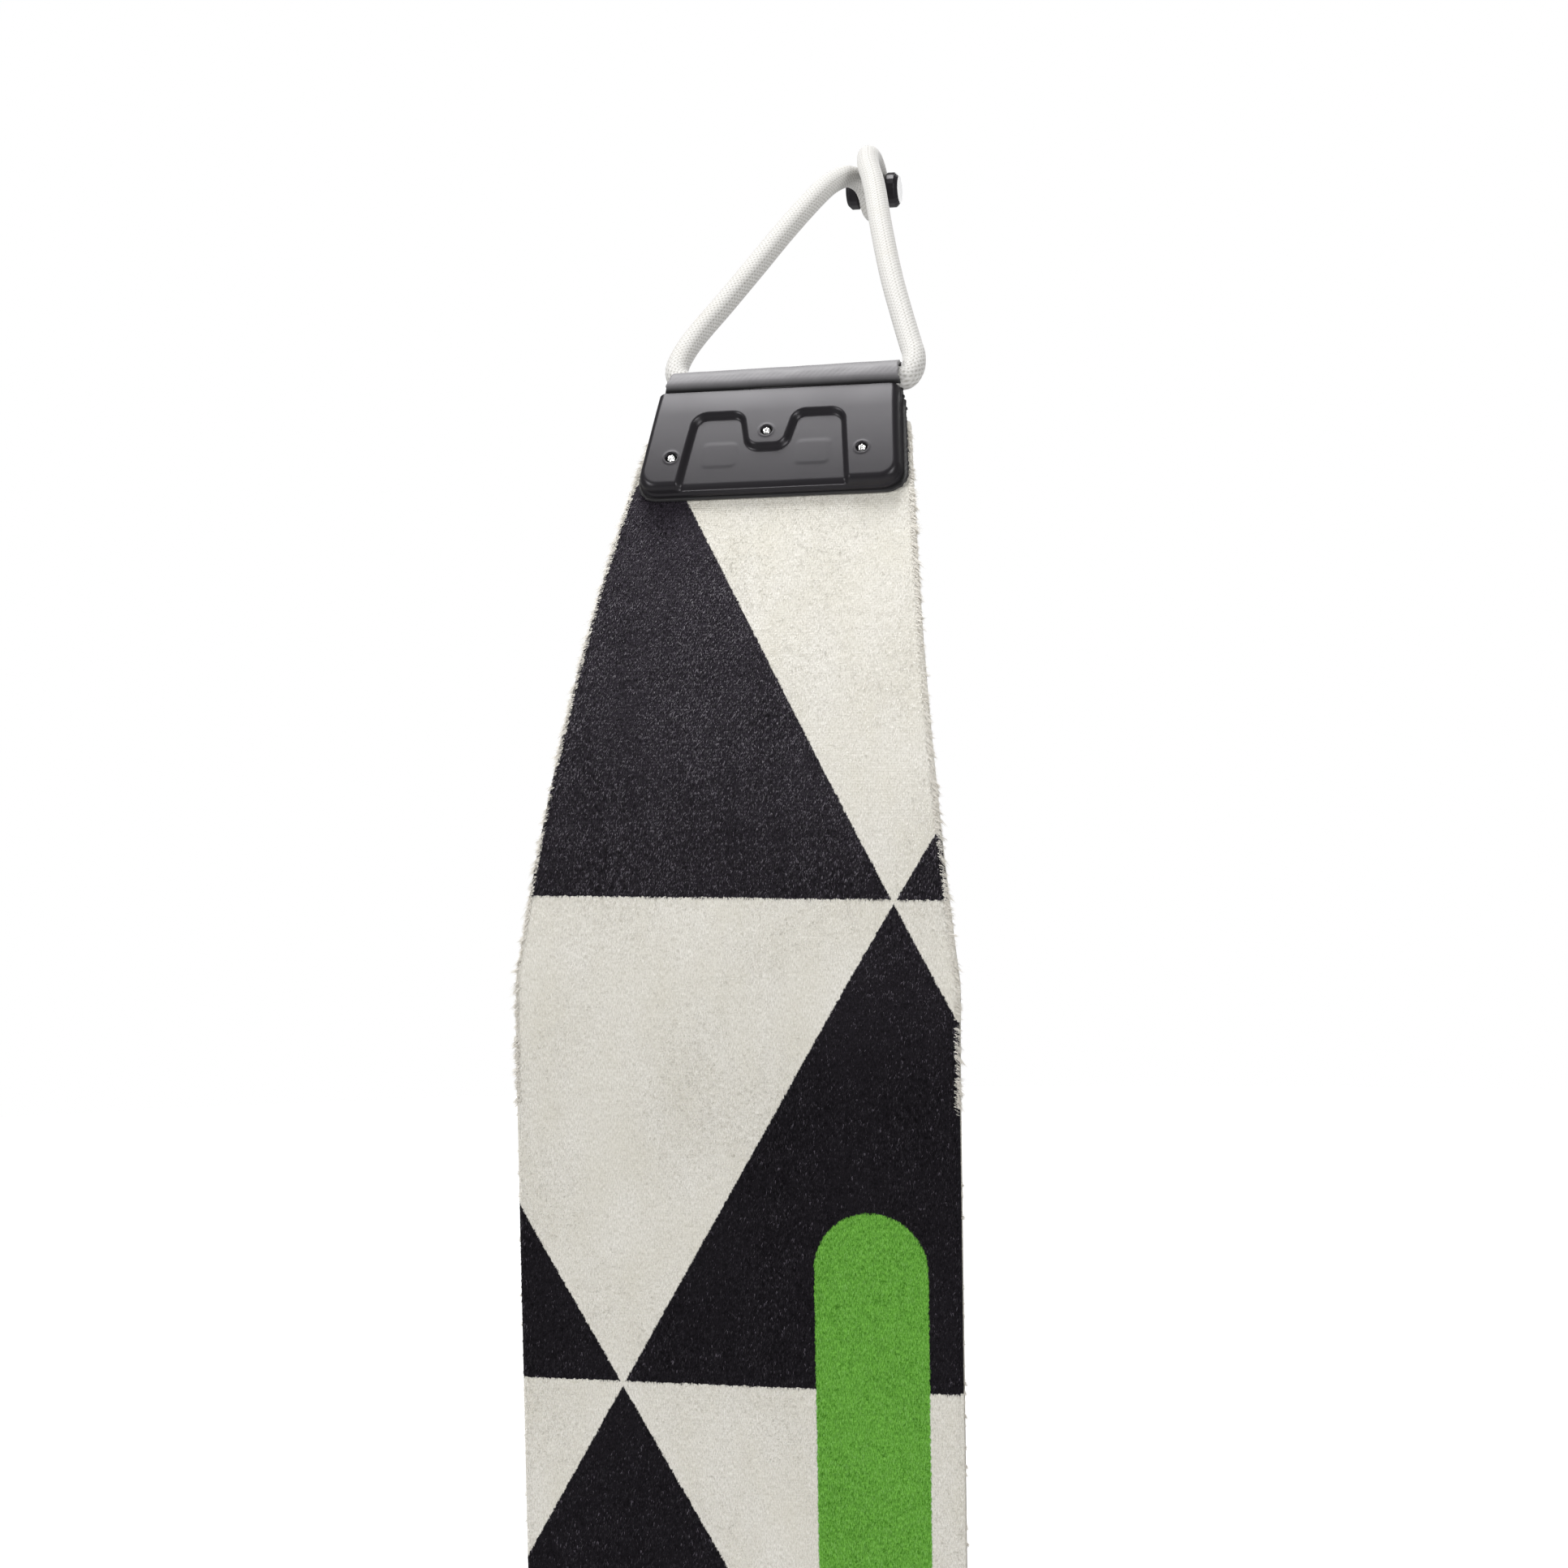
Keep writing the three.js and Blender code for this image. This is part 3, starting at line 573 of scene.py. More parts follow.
def braid_material():
    shader = Shader("braided_cord", Roughness=0.8, Sheen_Weight=0.2)
    around, along = shader.attribute("around", "Fac"), shader.attribute("along", "Fac")
    yarn = shader.node("ShaderNodeCombineXYZ", {
        "X": shader.math("MULTIPLY", around, 5.0), "Y": shader.math("MULTIPLY", along, 2300.0),
    }).outputs["Vector"]
    thread = shader.noise(yarn, 1.0, 2.0)
    stain = shader.noise(shader.place(), 70.0, 3.0)
    yarns = shader.mix(thread, (0.48, 0.47, 0.448, 1), (0.77, 0.76, 0.742, 1))
    # Painted shade: the grooves between the yarns, off their crests, are painted darker.
    crest = shader.ramp(shader.attribute("relief", "Fac"), 0.945, 0.985)
    groove_shaded_yarns = shader.mix(crest, (0.35, 0.34, 0.31, 1), yarns)
    shader.color(shader.mix(shader.ramp(stain, 0.55, 0.8, 0.0, 0.25), groove_shaded_yarns, (0.5, 0.46, 0.39, 1)))
    shader.bump(thread, 0.06 * MM, 0.6)
    return shader


def steel_material():
    shader = Shader("stainless_steel", Metallic=1.0, Base_Color=(0.68, 0.68, 0.69, 1))
    place = shader.place()
    brush = shader.noise(shader.scaled(place, (400, 400, 4000)), 1.0, 3.0)
    shader.roughness(shader.ramp(brush, 0.2, 0.8, 0.2, 0.38))
    rounded = shader.node("ShaderNodeBevel", {"Radius": 0.15 * MM}, samples=6)
    shader.bump(brush, 0.01 * MM, 0.3, rounded.outputs["Normal"])
    return shader


def webbing_material():
    shader = Shader("webbing", Roughness=0.8, Sheen_Weight=0.25)
    cloth = shader.attribute("cloth")
    across = shader.node("ShaderNodeTexWave", {
        "Vector": cloth, "Scale": 0.32, "Distortion": 0.3,
    }, bands_direction="X")
    along = shader.node("ShaderNodeTexWave", {
        "Vector": cloth, "Scale": 0.5, "Distortion": 0.4,
    }, bands_direction="Y")
    weave = shader.math("MULTIPLY", across.outputs["Fac"], along.outputs["Fac"])
    shader.color(shader.mix(weave, (0.016, 0.0155, 0.017, 1), (0.05, 0.048, 0.052, 1)))
    shader.bump(weave, 0.12 * MM, 0.8)
    return shader


steel = steel_material()
moulded = moulded_material("moulded_plastic")


# ---- the strip ---------------------------------------
def strip_rows(fine):
    """Places along the strip: close together where the picture looks and where the shape turns."""
    picture_end = -190 * MM
    rounded = np.linspace(0, math.pi / 2, int((TAIL_START - TAIL_END) / fine) + 12)
    parts = [
        TAIL_END + (TAIL_START - TAIL_END) * (1 - np.cos(rounded[:-1])),
        np.arange(TAIL_START, FOLD_Z - FOLD_REACH, 4 * fine),
        np.arange(FOLD_Z - FOLD_REACH, FOLD_Z + FOLD_REACH, FOLD_STEP),
        np.arange(FOLD_Z + FOLD_REACH, picture_end, 4 * fine),
        np.arange(picture_end, NOSE_END, fine),
    ]
    return np.append(np.concatenate(parts), NOSE_END)


def layer_faces(rows, columns):
    """A grid of faces over a layer's far side, and beneath it one pair of edge points per row."""
    count = rows * columns
    faces = grid_faces(rows, columns)
    for i in range(rows - 1):
        left, right = i * columns, (i + 1) * columns - 1
        low_left, low_right = count + 2 * i, count + 2 * i + 1
        faces.append((left, left + columns, low_left + 2, low_left))
        faces.append((right + columns, right, low_right, low_right + 2))
        faces.append((low_right, low_left, low_left + 2, low_right + 2))
    last = (rows - 1) * columns
    low = count + 2 * (rows - 1)
    faces.append(tuple([count + 1, count, *range(columns)][::-1]))
    faces.append(tuple([low, low + 1, *range(last + columns - 1, last - 1, -1)][::-1]))
    return faces


def layer(name, columns, rows, near, far, far_shape=None):
    """A closed layer of the strip between two offsets; far_shape(x, u, edge) adds to the far one."""
    halves = half_width(rows)
    x = halves[:, None] * np.linspace(-1, 1, columns)[None, :]
    u = np.broadcast_to(rows[:, None], x.shape)
    edge = halves[:, None] - np.abs(x)
    height = np.full(x.shape, far)
    if far_shape:
        height = height + far_shape(x, u, edge)
    edge_x, edge_u = x[:, [0, -1]], u[:, [0, -1]]
    far_side = on_strip(x, u, height).reshape(-1, 3)
    near_side = on_strip(edge_x, edge_u, near).reshape(-1, 3)
    obj = new_mesh(name, np.vstack([far_side, near_side]), layer_faces(len(rows), columns))
    flat = np.stack([x, u, np.zeros_like(x)], axis=-1).reshape(-1, 3)
    near_flat = np.stack([edge_x, edge_u, np.zeros_like(edge_x)], axis=-1).reshape(-1, 3)
    store(obj, "strip", np.vstack([flat, near_flat]) / MM)
    return obj


def across_fold(obj):
    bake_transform(obj)


def pile_height(x, u, edge):
    """Clumps in the pile, broad waves, and the rolled-down cut edge."""
    points = np.stack([x, u], axis=-1).reshape(-1, 2) / MM
    clump = np.array([noise.noise((a * 0.75, b * 0.42, 0.0)) for a, b in points])
    wave = np.array([noise.noise((a * 0.05, b * 0.035, 7.0)) for a, b in points])
    relief = (0.10 * clump + 0.12 * wave).reshape(x.shape) * MM
    roll = np.clip(1 - edge / (1.4 * MM), 0, 1) ** 2 * 0.7 * MM
    return relief - roll - 0.15 * MM


def add_layer(name, columns, rows, offsets, material, far_shape=None):
    """One layer of the strip in place of its CAD halves."""
    obj = layer(name, columns, rows, *offsets, far_shape)
    dress(obj, material)
    across_fold(obj)
    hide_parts(name + "_front", name + "_rear")
    return obj


def add_strip():
    fine, columns = ((1 * MM, 112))
    plush = add_layer(
        "plush", columns, strip_rows(fine), PLUSH, plush_material(), pile_height
    )
    rows = strip_rows(4 * MM)
    backing = add_layer("backing", 12, rows, BACKING, backing_material())
    glue = add_layer("glue", 12, rows, GLUE, glue_material())
    return plush, backing, glue


def in_bar(x, u):
    """True inside the green bar, for points in millimetres."""
    up = u - np.clip(u, BAR_LOW, BAR_HIGH)
    return np.hypot(x - BAR_X, up) < BAR_HALF


def in_triangle(x, u):
    """True inside a dark triangle, for points in millimetres."""
    down = ROW_TOP - u
    row = np.floor(down / ROW_HEIGHT)
    wrapped = (x - APEX_X + (row + 1) * HALF_BASE) % (2 * HALF_BASE)
    allowed = (down - row * ROW_HEIGHT - ROW_GAP) * HALF_BASE / ROW_HEIGHT
    return (np.abs(wrapped - HALF_BASE) < allowed) & (u < PRINT_END)


def blades(name, x, u, offset, lean_x, lean_u, rise, width, twist=math.pi / 2):
    """Fibres as thin triangles: each stands at x, u, leans by the given amounts at its tip, and
    is turned about its own length by up to twist."""
    root = on_strip(x, u, offset)
    tip = on_strip(x + lean_x, u + lean_u, offset + rise)
    along = tip - root
    turn = rng.uniform(-1, 1, len(x)) * twist
    sideways = np.stack([np.cos(turn), np.sin(turn) * 0.4, np.sin(turn) * 0.6], axis=-1)
    sideways -= along * (np.sum(sideways * along, 1) / np.sum(along * along, 1))[:, None]
    sideways *= (width / np.linalg.norm(sideways, axis=1))[:, None]
    points = np.stack([root - sideways / 2, root + sideways / 2, tip], axis=1)
    count = len(x)
    mesh = bpy.data.meshes.new(name)
    mesh.vertices.add(3 * count)
    mesh.vertices.foreach_set("co", points.astype(np.float32).ravel())
    mesh.loops.add(3 * count)
    mesh.loops.foreach_set("vertex_index", np.arange(3 * count, dtype=np.int32))
    mesh.polygons.add(count)
    mesh.polygons.foreach_set("loop_start", 3 * np.arange(count, dtype=np.int32))
    mesh.update(calc_edges=True)
    obj = bpy.data.objects.new(name, mesh)
    bpy.context.scene.collection.objects.link(obj)
    return obj


def clouds(x, u):
    """A slow unevenness over the cloth, between -1 and 1; x and u are in millimetres."""
    coarse = np.sin(0.11 * x + 0.07 * u) * np.sin(0.09 * u - 0.05 * x + 1.0)
    fine = np.sin(0.31 * x - 0.17 * u + 2.0) * np.sin(0.27 * u + 0.23 * x)
    return 0.5 * coarse + 0.5 * fine


def fibre_tones(x, u, row, dye):
    """Each fibre's tone, from 0 for painted shade to 2 for painted glint; painted glints are made
    commoner on the curved nose as painted sheen, and most fibres share their tuft's tone."""
    count = len(x)
    over_nose = np.clip((u - BEND_START) / (BEND_END - BEND_START), 0, 1)
    patch = 1 + 0.45 * clouds(x / MM, u / MM)
    # Painted sheen: up the curved nose, more charcoal fibres take the glint and middle tones.
    bright = np.where(dye == CHARCOAL_DYE, (0.05 + 0.66 * over_nose) * patch, 0.35)
    middling = np.where(dye == CHARCOAL_DYE, (0.36 + 0.16 * over_nose) * patch, 0.4)
    tuft = ((x + HALF_WIDTH) // TUFT_WIDTH).astype(int)
    line = (row - row.min()).astype(int)
    shared = rng.uniform(0, 1, (line.max() + 1, tuft.max() + 1))[line, tuft]
    draw = np.where(rng.uniform(0, 1, count) < 0.6, shared, rng.uniform(0, 1, count))
    return np.where(draw < bright, 2, np.where(draw < bright + middling, 1, 0))


def add_pile(name, low, high, count):
    """Short fibres that stand out of the pile and lean towards the tail, in the pattern's dyes."""
    row = rng.uniform(low, high, count) // TUFT_ROW
    u = row * TUFT_ROW + rng.normal(0, 0.24, count) * TUFT_ROW
    x = rng.uniform(-1, 1, count) * (half_width(u) - 0.2 * MM)
    dye = np.where(in_triangle(x / MM, u / MM), CHARCOAL_DYE, CREAM_DYE)
    dye = np.where(in_bar(x / MM, u / MM), GREEN_DYE, dye)
    cream = dye == CREAM_DYE
    length = rng.uniform(0.5, 1.1, count) * np.where(cream, 0.7, 1.0) * MM
    upright = rng.uniform(0.05, 0.35, count) * np.where(cream, 0.4, 1.0)
    pile = blades(
        name, x, u, PLUSH[1] - 0.2 * MM,
        lean_x=rng.normal(0, 0.18, count) * length,
        lean_u=-length * rng.uniform(0.6, 1.0, count),
        rise=0.2 * MM + length * upright,
        width=rng.uniform(0.12, 0.24, count) * MM,
        twist=np.where(cream, 0.4, math.pi / 2),
    )
    for material in fibre_materials():
        pile.data.materials.append(material)
    tone = fibre_tones(x, u, row, dye)
    pile.data.polygons.foreach_set("material_index", (3 * dye + tone).astype(np.int32))
    across_fold(pile)
    return pile


def each_in_tuft(values):
    """Repeats each tuft's value for every fibre in it."""
    return np.repeat(values, FIBRES_PER_TUFT)


def edge_fibre_draws():
    """Each frayed fibre's place along the edge, reach, lean and side: the fringe's own, and then
    those that a tuft's fibres share."""
    nose_fringe = rng.uniform(FRAY_START, NOSE_END - 1 * MM, FRINGE_COUNTS[0])
    rest_fringe = rng.uniform(TAIL_END + 4 * MM, FRAY_START, FRINGE_COUNTS[1])
    tufts = np.concatenate([
        rng.uniform(FRAY_START, NOSE_END - 2 * MM, TUFT_COUNTS[0]),
        rng.uniform(TUFTS_END, FRAY_START, TUFT_COUNTS[1]),
    ])
    place = np.concatenate([nose_fringe, rest_fringe, each_in_tuft(tufts)])
    tuft_reach = np.minimum(rng.gamma(2.0, 0.42, len(tufts)) + 0.3, 2.3)
    reach = np.concatenate([
        rng.uniform(0.3, 1.1, FRINGE_COUNTS[0]), rng.uniform(0.3, 0.8, FRINGE_COUNTS[1]),
        each_in_tuft(tuft_reach),
    ])
    fringe = sum(FRINGE_COUNTS)
    lean = np.concatenate([
        rng.uniform(0.1, 0.9, fringe), each_in_tuft(rng.uniform(0.0, 1.2, len(tufts))),
    ])
    side = np.concatenate([
        rng.choice([-1.0, 1.0], fringe), each_in_tuft(rng.choice([-1.0, 1.0], len(tufts))),
    ])
    return place, reach, lean, side


def add_edge_fibres():
    """White fibres frayed out of the cut edges: a close fringe, and tufts that stand out of it,
    longest along the tapered nose."""
    place, reach, lean, side = edge_fibre_draws()
    count = len(place)
    in_tuft = np.arange(count) >= sum(FRINGE_COUNTS)
    on_nose = place > FRAY_START
    u = place + rng.normal(0, 1, count) * np.where(in_tuft, 0.25, 0.4) * MM
    length = reach * np.where(on_nose, 1.0, 0.55) * rng.uniform(0.6, 1.2, count) * MM
    inset = np.where(on_nose, rng.uniform(0.2, 1.2, count), 0.1) * MM
    height = np.where(on_nose, rng.uniform(0.9, 3.0, count), rng.uniform(0.6, 1.6, count)) * MM
    fibres = blades(
        "edge_fibres", side * (half_width(u) - inset), u, height,
        lean_x=side * (length * rng.uniform(0.5, 1.0, count) + 0.5 * inset),
        lean_u=-length * lean,
        rise=rng.normal(-0.1, 0.2, count) * MM,
        width=rng.uniform(0.12, 0.28, count) * MM,
    )
    dress(fibres, Shader("frayed_fibres", Roughness=0.7, Base_Color=(0.72, 0.69, 0.63, 1)))
    across_fold(fibres)
    return fibres


plush, backing, glue = add_strip()
near_count, far_count = ((190000, 190000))
near_pile = add_pile("pile_near", PILE_SPLIT, BEND_END - 2 * MM, near_count)
far_pile = add_pile("pile_far", TAIL_END + 2 * MM, PILE_SPLIT, far_count)
edge_fibres = add_edge_fibres()


# ---- tip fitting -------------------------------------
SLEEVE_END = 21.6 * MM
LEAF_TOP, LEAF_BOTTOM = 24.6 * MM, -3.5 * MM
LEAF_CORNER = 6 * MM
# The cloth's y and z on its way from the roll to the leaf, over the cap's top edge.
SLEEVE_TUCK = np.array([
    (-8.50, 30.0), (-8.36, 29.3), (-8.0, 28.85), (-7.4, 28.65), (-6.0, 28.55), (-4.6, 28.4),
    (-3.8, 27.9), (-3.6, 26.5),
]) * MM


def sleeve_profile():
    """The cloth's y and z from its end on the glue side, round the cord and down behind the cap,
    with how far along it the roll starts and ends and the leaf starts."""
    leaf_y = -PLUSH[1] - 0.3 * MM - SLEEVE_THICKNESS / 2
    turns = np.radians(np.linspace(0, 180, 30))
    roll = np.stack([
        TUNNEL_Y + TUNNEL_MIDDLE * np.cos(turns), TUNNEL_Z + TUNNEL_MIDDLE * np.sin(turns)
    ], axis=-1)
    back = np.array([(roll[0, 0], SLEEVE_END), (roll[0, 0], 26 * MM)])
    leaf = np.array([(leaf_y, LEAF_TOP), (leaf_y, 10 * MM), (leaf_y, LEAF_BOTTOM)])
    profile = np.vstack([back, roll, SLEEVE_TUCK, leaf])
    along = distances(profile)
    roll_start, roll_end = along[len(back)], along[len(back) + len(roll) - 1]
    return profile, roll_start, roll_end, along[-len(leaf)]


def sleeve_sides(along, z, roll_start, leaf_start):
    """The cloth's left and right edge: it widens towards the front, and the leaf's lower corners
    are round."""
    front = np.clip((along - roll_start) / (leaf_start - roll_start), 0, 1)
    on_leaf = along > leaf_start
    up = np.clip((z - LEAF_BOTTOM) / (LEAF_TOP - LEAF_BOTTOM), 0, 1)
    low = np.clip(1 - (z - LEAF_BOTTOM) / LEAF_CORNER, 0, 1)
    corner = LEAF_CORNER * (1 - np.sqrt(1 - low**2))
    left = np.where(on_leaf, (2.8 * up - 34.6) * MM + corner, -(24.9 + 6.6 * front**1.1) * MM)
    right = np.where(on_leaf, (35.5 - 3.0 * up) * MM - corner, (30.5 + 1.6 * front**2.5) * MM)
    return left, right


def add_sleeve():
    """The coated cloth, folded into a tunnel for the cord: a little ragged at its sides, puckered,
    and fuller at the right of its roll."""
    profile, roll_start, roll_end, leaf_start = sleeve_profile()
    along = np.linspace(0, distances(profile)[-1], 170)
    y, z = resampled(profile, along).T
    left, right = sleeve_sides(along, z, roll_start, leaf_start)
    share = np.linspace(0, 1, 150)
    x = left[:, None] + (right - left)[:, None] * share[None, :]
    ragged = np.array([noise.noise((b / MM * 1.3, 0.0, 5.0)) for b in along]) * 0.5 * MM
    x = x + ragged[:, None] * (np.abs(share - 0.5)[None, :] * 2) ** 8
    pucker = np.array([
        [noise.noise((a / MM * 0.16, b / MM * 0.4, 3.0)) for a in row] for row, b in zip(x, along)
    ])
    on_roll = np.exp(-(((along - (roll_start + roll_end) / 2) / (7 * MM)) ** 2))
    taper = 0.35 * MM * (0.5 - share)[None, :] * 2 * on_roll[:, None]
    dent = 0.12 * MM * pucker * np.where(along > leaf_start, 0.2, 1.0)[:, None] + taper
    outward = np.stack([np.gradient(z), -np.gradient(y)])
    outward = outward / np.hypot(*outward)
    points = np.stack([
        x, y[:, None] - outward[0][:, None] * dent, z[:, None] - outward[1][:, None] * dent
    ], axis=-1)
    sleeve = new_mesh("sleeve_cloth", from_nose(points.reshape(-1, 3)), grid_faces(*x.shape))
    store_cloth(sleeve, x, along[:, None])
    thicken(sleeve, SLEEVE_THICKNESS)
    dress(sleeve, coated_material())
    stand_in(sleeve, "front", "tip_sleeve")


def round_inside(a, b, radius):
    """Distance to what lies inside both shapes, their shared corner rounded; inside is negative."""
    corner = np.hypot(np.maximum(radius + a, 0), np.maximum(radius + b, 0))
    return np.minimum(-radius, np.maximum(a, b)) + corner


def ease(t):
    t = np.clip(t, 0, 1)
    return t * t * (3 - 2 * t)


def cap_half(z):
    """Half the cap's width at a height, before its corners are rounded."""
    return CAP_LOW_HALF + (CAP_HIGH_HALF - CAP_LOW_HALF) * (z - CAP_LOW) / (CAP_HIGH - CAP_LOW)


def cap_body(x, z):
    """The plain cap's height off its back, and how far up its round shoulder a point lies."""
    low = round_inside(np.abs(x) - cap_half(z), CAP_LOW - z, CAP_CORNER)
    outline = round_inside(low, CAP_TOP_SQUEEZE * (z - CAP_HIGH), CAP_TOP_CORNER)
    rise = np.clip((-outline - 0.35) / CAP_SHOULDER, 0, 1)
    body = (1 - (1 - rise) ** 2.3) ** (1 / 1.7)
    height = CAP_FLANGE + (CAP_BACK - CAP_FRONT - CAP_FLANGE) * body
    rounded_edge = 0.5 * np.clip(1 + outline / 0.5, 0, 1) ** 2
    return height - rounded_edge, body


def cap_relief(x, z):
    """How far the cap's face stands in front of its back, in millimetres, at x, z millimetres."""
    height, body = cap_body(x, z)
    # The panel is a sunk arch, open below; a tongue hangs into it round the middle rivet.
    across = np.abs(x - PANEL_CENTRE)
    arch = round_inside(across - (22.45 - 0.123 * (z + 2.4)), z - 20.4, 4.0)
    tongue = round_inside(across - (4.05 + 0.215 * (z - 10.0)), 10.0 - z, 1.8)
    panel = round_inside(arch, -tongue, 3.2)
    depth = np.minimum(PANEL_DEPTH, np.maximum(height - CAP_FLANGE - 0.5, 0))
    height = height - depth * ease(-panel / PANEL_WALL)
    # Two faint fields stand up from its floor.
    fields = round_inside(np.abs(across - 11.95) - 4.15, np.abs(z - 7.6) - 3.6, 1.2)
    height = height + 0.035 * ease(-fields / 1.4 + 0.5)
    # The face is crowned, and falls off most at the top.
    crown = (z - 9.0) ** 2 / 700 + 0.006 * np.maximum(z - 20.0, 0) ** 2
    height = height - np.where(height > CAP_FLANGE, crown * body, 0)
    # Each rivet sits in a well with a slight lip.
    for rivet_x, rivet_z in TIP_RIVETS.values():
        radial = np.hypot(x - rivet_x, z - rivet_z)
        height = height + 0.05 * np.exp(-(((radial - 1.8) / 0.35) ** 2))
        height = height - 1.5 * ease((1.5 - radial) / 0.25)
    return height


def cap_rows(fine):
    """Heights of the cap's rows of points, close together round its corners."""
    turns = np.linspace(0, math.pi / 2, 28)[1:-1]
    low_rows = CAP_LOW + CAP_CORNER * (1 - np.cos(turns))
    high_rows = CAP_HIGH - CAP_TOP_CORNER / CAP_TOP_SQUEEZE * (1 - np.cos(turns[::-1]))
    middle = np.arange(low_rows[-1] + fine, high_rows[0], fine)
    return np.concatenate([[CAP_LOW], low_rows, middle, high_rows, [CAP_HIGH]])


def cap_edge(z):
    """Half the cap's width at a height, with its corners rounded."""
    low_gap = np.clip(CAP_CORNER - (z - CAP_LOW), 0, CAP_CORNER)
    high_gap = np.clip(CAP_TOP_CORNER - CAP_TOP_SQUEEZE * (CAP_HIGH - z), 0, CAP_TOP_CORNER)
    low_cut = CAP_CORNER - np.sqrt(CAP_CORNER**2 - low_gap**2)
    high_cut = CAP_TOP_CORNER - np.sqrt(CAP_TOP_CORNER**2 - high_gap**2)
    return cap_half(z) - low_cut - high_cut


def border(grid):
    """What lies round a grid's edge, in order."""
    return np.concatenate([grid[0], grid[1:-1, -1], grid[-1, ::-1], grid[-2:0:-1, 0]])


def add_cap():
    """The cap: a relief for its face, and a wall down to its flat back."""
    fine = 0.2
    rows = cap_rows(fine)
    columns = int(68 / fine)
    x = cap_edge(rows)[:, None] * np.linspace(-1, 1, columns)[None, :]
    z = np.broadcast_to(rows[:, None], x.shape)
    face = np.stack([x, CAP_BACK - cap_relief(x, z), z], axis=-1)
    rim = border(face)
    rim[:, 1] = CAP_BACK
    around = border(np.arange(x.size).reshape(x.shape)).tolist()
    size = len(around)
    faces = [tuple(reversed(f)) for f in grid_faces(*x.shape)]
    for i in range(size):
        j = (i + 1) % size
        faces.append((around[i], around[j], x.size + j, x.size + i))
    faces.append(tuple(range(x.size + size - 1, x.size - 1, -1)))
    points = np.vstack([face.reshape(-1, 3), rim]) * MM
    cap = new_mesh("cap_shell", from_nose(points), faces)
    dress(cap, moulded_material("tip_cap_plastic"))
    stand_in(cap, "front", "tip_cap")


def add_rivet(side, x, z):
    """A rivet through the cap: its rolled end is a small dome split into uneven petals round a
    dimple, and its shank runs back to a flat head in the base plate."""
    rings, sides = 14, 40
    radius = np.linspace(0, 1.2, rings)
    around = 2 * math.pi * np.arange(sides) / sides
    petals = 0.5 + 0.5 * np.cos(5 * around + x)
    uneven = np.array([noise.noise((math.cos(a) * 1.7, math.sin(a) * 1.7, x)) for a in around])
    share = (radius / radius[-1])[:, None]
    dome = 0.75 * np.sqrt(np.maximum(1 - share**2.6, 0)) - 0.42 * np.exp(-(share / 0.33) ** 2)
    split = (0.26 * petals + 0.16 * uneven)[None, :] * np.sin(math.pi * share) * share
    rim = CAP_FRONT + 0.8
    head_y = rim - dome - split
    head_radius = radius[:, None] * (1 + 0.07 * uneven[None, :] * share)
    shank = np.array([(1.1, rim + 0.6), (0.8, rim + 0.6), (0.8, 1.7), (1.1, 1.7), (1.1, 2.3)])
    every_radius = np.vstack([head_radius, np.repeat(shank[:, :1], sides, axis=1)])
    y = np.vstack([head_y, np.repeat(shank[:, 1:], sides, axis=1)])
    px = x + every_radius * np.cos(around)[None, :]
    pz = z + every_radius * np.sin(around)[None, :]
    points = np.stack([px, y, pz], axis=-1).reshape(-1, 3) * MM
    count = len(y)
    faces = grid_faces(count, sides, closed=True)
    faces.append(tuple(range((count - 1) * sides, count * sides)))
    rivet = new_mesh("rivet_" + side, from_nose(points), faces)
    dress(rivet, rivet_steel)
    stand_in(rivet, "front", "tip_rivet_" + side)


# The elastic's middle in the tip fitting's own frame: out of the right mouth, up round the toggle,
# and back down to the left mouth.
CORD_ROUTE = np.array([
    (0.4, -4.55, 30.9), (15.1, -4.55, 30.9), (29.1, -4.55, 30.9), (32.3, -4.5, 31.1),
    (33.7, -4.2, 34.2), (33.4, -3.2, 38.9), (31.9, -1.9, 43.9), (28.5, 0.2, 55),
    (24, 3.2, 70.4), (18.9, 8.5, 90.6), (13.9, 15.5, 112), (10.5, 20.4, 123.5),
    (9, 25.2, 131.2), (8.7, 31.2, 134.7), (8.7, 37.5, 135.1), (8.7, 41.6, 133.4),
    (8.5, 43.3, 129.3), (8.4, 41.6, 125.2), (8.3, 37.5, 123.5), (8.2, 33, 124.2),
    (7, 28.9, 125), (4.1, 24.4, 123.7), (1.1, 19.4, 117.6), (-1.8, 14.4, 108.3),
    (-7.3, 8.9, 92.9), (-13.2, 4.5, 77.1), (-19.5, 1.3, 62.4), (-24.8, -1, 50.9),
    (-27.3, -3, 42.8), (-28.0, -4.2, 36.9), (-26.6, -4.5, 33.5), (-23.4, -4.55, 31.2),
    (-11.9, -4.55, 30.9), (-0.4, -4.55, 30.9),
]) * MM


def braid_relief(around, along):
    """Yarns that cross over and under each other round the cord."""
    carriers, lay = 14, 18 * MM
    climb = 2 * math.pi * along / lay
    one = np.cos(carriers * (around + climb))
    other = np.cos(carriers * (around - climb))
    return 0.98 + 0.032 * (np.maximum(one, other) - 0.5)


def add_cord():
    spacing, sides = ((0.25 * MM, 48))
    path = smooth_path(from_nose(CORD_ROUTE), spacing)
    cord = tube("elastic_cord", path, CORD_RADIUS, sides, braid_relief)
    dress(cord, braid_material())
    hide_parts("tip_cord")
    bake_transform(cord)


add_sleeve()
add_cord()
add_cap()
rivet_steel = Shader("rivet_steel", Metallic=1.0, Base_Color=(0.86, 0.85, 0.84, 1), Roughness=0.22)
for side, (x, z) in TIP_RIVETS.items():
    add_rivet(side, x, z)
dress(nodes["tip_base_plate"], steel)
dress(nodes["cord_ferrule"], steel)
dress(nodes["notch_toggle"], moulded)


